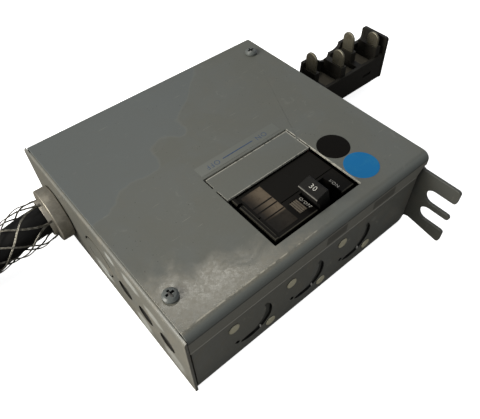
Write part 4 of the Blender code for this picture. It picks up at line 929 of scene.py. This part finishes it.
LEGEND_Z = COVER_TOP + FILM
slab("legend_film", (-21, -9.2, COVER_TOP), (37.5, -1.6, LEGEND_Z), 0.02, "clear_film")
ink_mark("legend_off", "OFF", "blue_ink", (-10.5, LEGEND_Y, LEGEND_Z), LEGEND_HEIGHT, toward_back)
ink_mark("legend_on", "ON", "blue_ink", (25, LEGEND_Y, LEGEND_Z), LEGEND_HEIGHT, toward_back)
slab("legend_line", (-3.5, LEGEND_Y - 0.3, LEGEND_Z), (18.5, LEGEND_Y + 0.3, LEGEND_Z + INK), 0.01,
     "blue_ink")


# Floor, light and camera

PALE = tone(250, 250, 249)
BLACK = (0, 0, 0, 1)
WHITE = (1, 1, 1, 1)
SKY = (0.27, 0.28, 0.3, 1)
bpy.ops.object.select_all(action="DESELECT")
bpy.ops.mesh.primitive_plane_add(size=12, location=(0, 0, -0.4 * MM))
floor = bpy.context.object
floor.name = "floor"
ground = Finish("pale_floor", {"Roughness": 0.9, "Emission Strength": 0.85})
seen = ground.node("ShaderNodeLightPath", out="Is Camera Ray")
shown = seen.most(ground.node("ShaderNodeLightPath", out="Is Transmission Ray"))
ground.wear({"Base Color": ground.mix(shown, tone(110, 108, 104), PALE),
             "Emission Color": ground.mix(shown, BLACK, WHITE)})
floor.data.materials.append(ground.material)

world = bpy.data.worlds.new("studio")
bpy.context.scene.world = world
world.use_nodes = True
sky = Wiring(world.node_tree)
backdrop = sky.mix(sky.node("ShaderNodeLightPath", out="Is Camera Ray"), SKY, WHITE)
sky.feed(sky.tree.nodes["Background"].inputs["Color"], backdrop)


def softbox(name, spot, aim, size, level, colour, long_way=None):
    """An area lamp; level 1 lights a surface that faces it as bright as its own colour."""
    lamp = bpy.data.lights.new(name, "AREA")
    reach = Vector(aim) - Vector(spot)
    lamp.energy = level * pi * pi * reach.length_squared
    lamp.color = colour
    back = -reach.normalized()
    side = Vector(long_way or (0, 0, 1)).cross(back).cross(back).normalized()
    lamp.shape = "RECTANGLE"
    lamp.size, lamp.size_y = size
    stand = bpy.data.objects.new(name, lamp)
    stand.matrix_world = (Matrix.Translation(spot)
                          @ Matrix((side, back.cross(side), back)).transposed().to_4x4())
    bpy.context.scene.collection.objects.link(stand)


BOX_MIDDLE = (0, 0, 0.03)
softbox("window_left", (-1.45, 0.3, 0.75), BOX_MIDDLE, (0.9, 0.9), 1.35, (1.0, 0.96, 0.88))
softbox("front_fill", (-0.5, -1.3, 0.5), BOX_MIDDLE, (0.9, 0.9), 0.06, (1.0, 0.97, 0.9))
softbox("right_fill", (1.3, 0.4, 0.5), BOX_MIDDLE, (0.9, 0.9), 0.06, (0.95, 0.97, 1.0))
softbox("ceiling", (0.33, 0.64, 1.33), (0, 0, 0.05), (0.4, 0.2), 0.16, (1.0, 0.95, 0.85),
        long_way=(0.35, -0.14, -0.07))

TARGET = Vector((-19.93 * MM, -39.9 * MM, 58.69 * MM))
DISTANCE = 248.5 * MM
AZIMUTH, ELEVATION, ROLL = radians(-38.758), radians(50.814), radians(-1.9415)
back = Vector((sin(AZIMUTH) * cos(ELEVATION), -cos(AZIMUTH) * cos(ELEVATION), sin(ELEVATION)))
right = Vector((cos(AZIMUTH), sin(AZIMUTH), 0))
up = back.cross(right)
right, up = right * cos(ROLL) + up * sin(ROLL), up * cos(ROLL) - right * sin(ROLL)
lens = bpy.data.cameras.new("photo_camera")
lens.sensor_width = 36
lens.lens = 36.224
lens.clip_start = 0.01
camera = bpy.data.objects.new("photo_camera", lens)
facing = Matrix((right, up, back)).transposed().to_4x4()
camera.matrix_world = Matrix.Translation(TARGET + back * DISTANCE) @ facing
bpy.context.scene.collection.objects.link(camera)
bpy.context.scene.camera = camera
bpy.context.scene.view_settings.view_transform = "Standard"
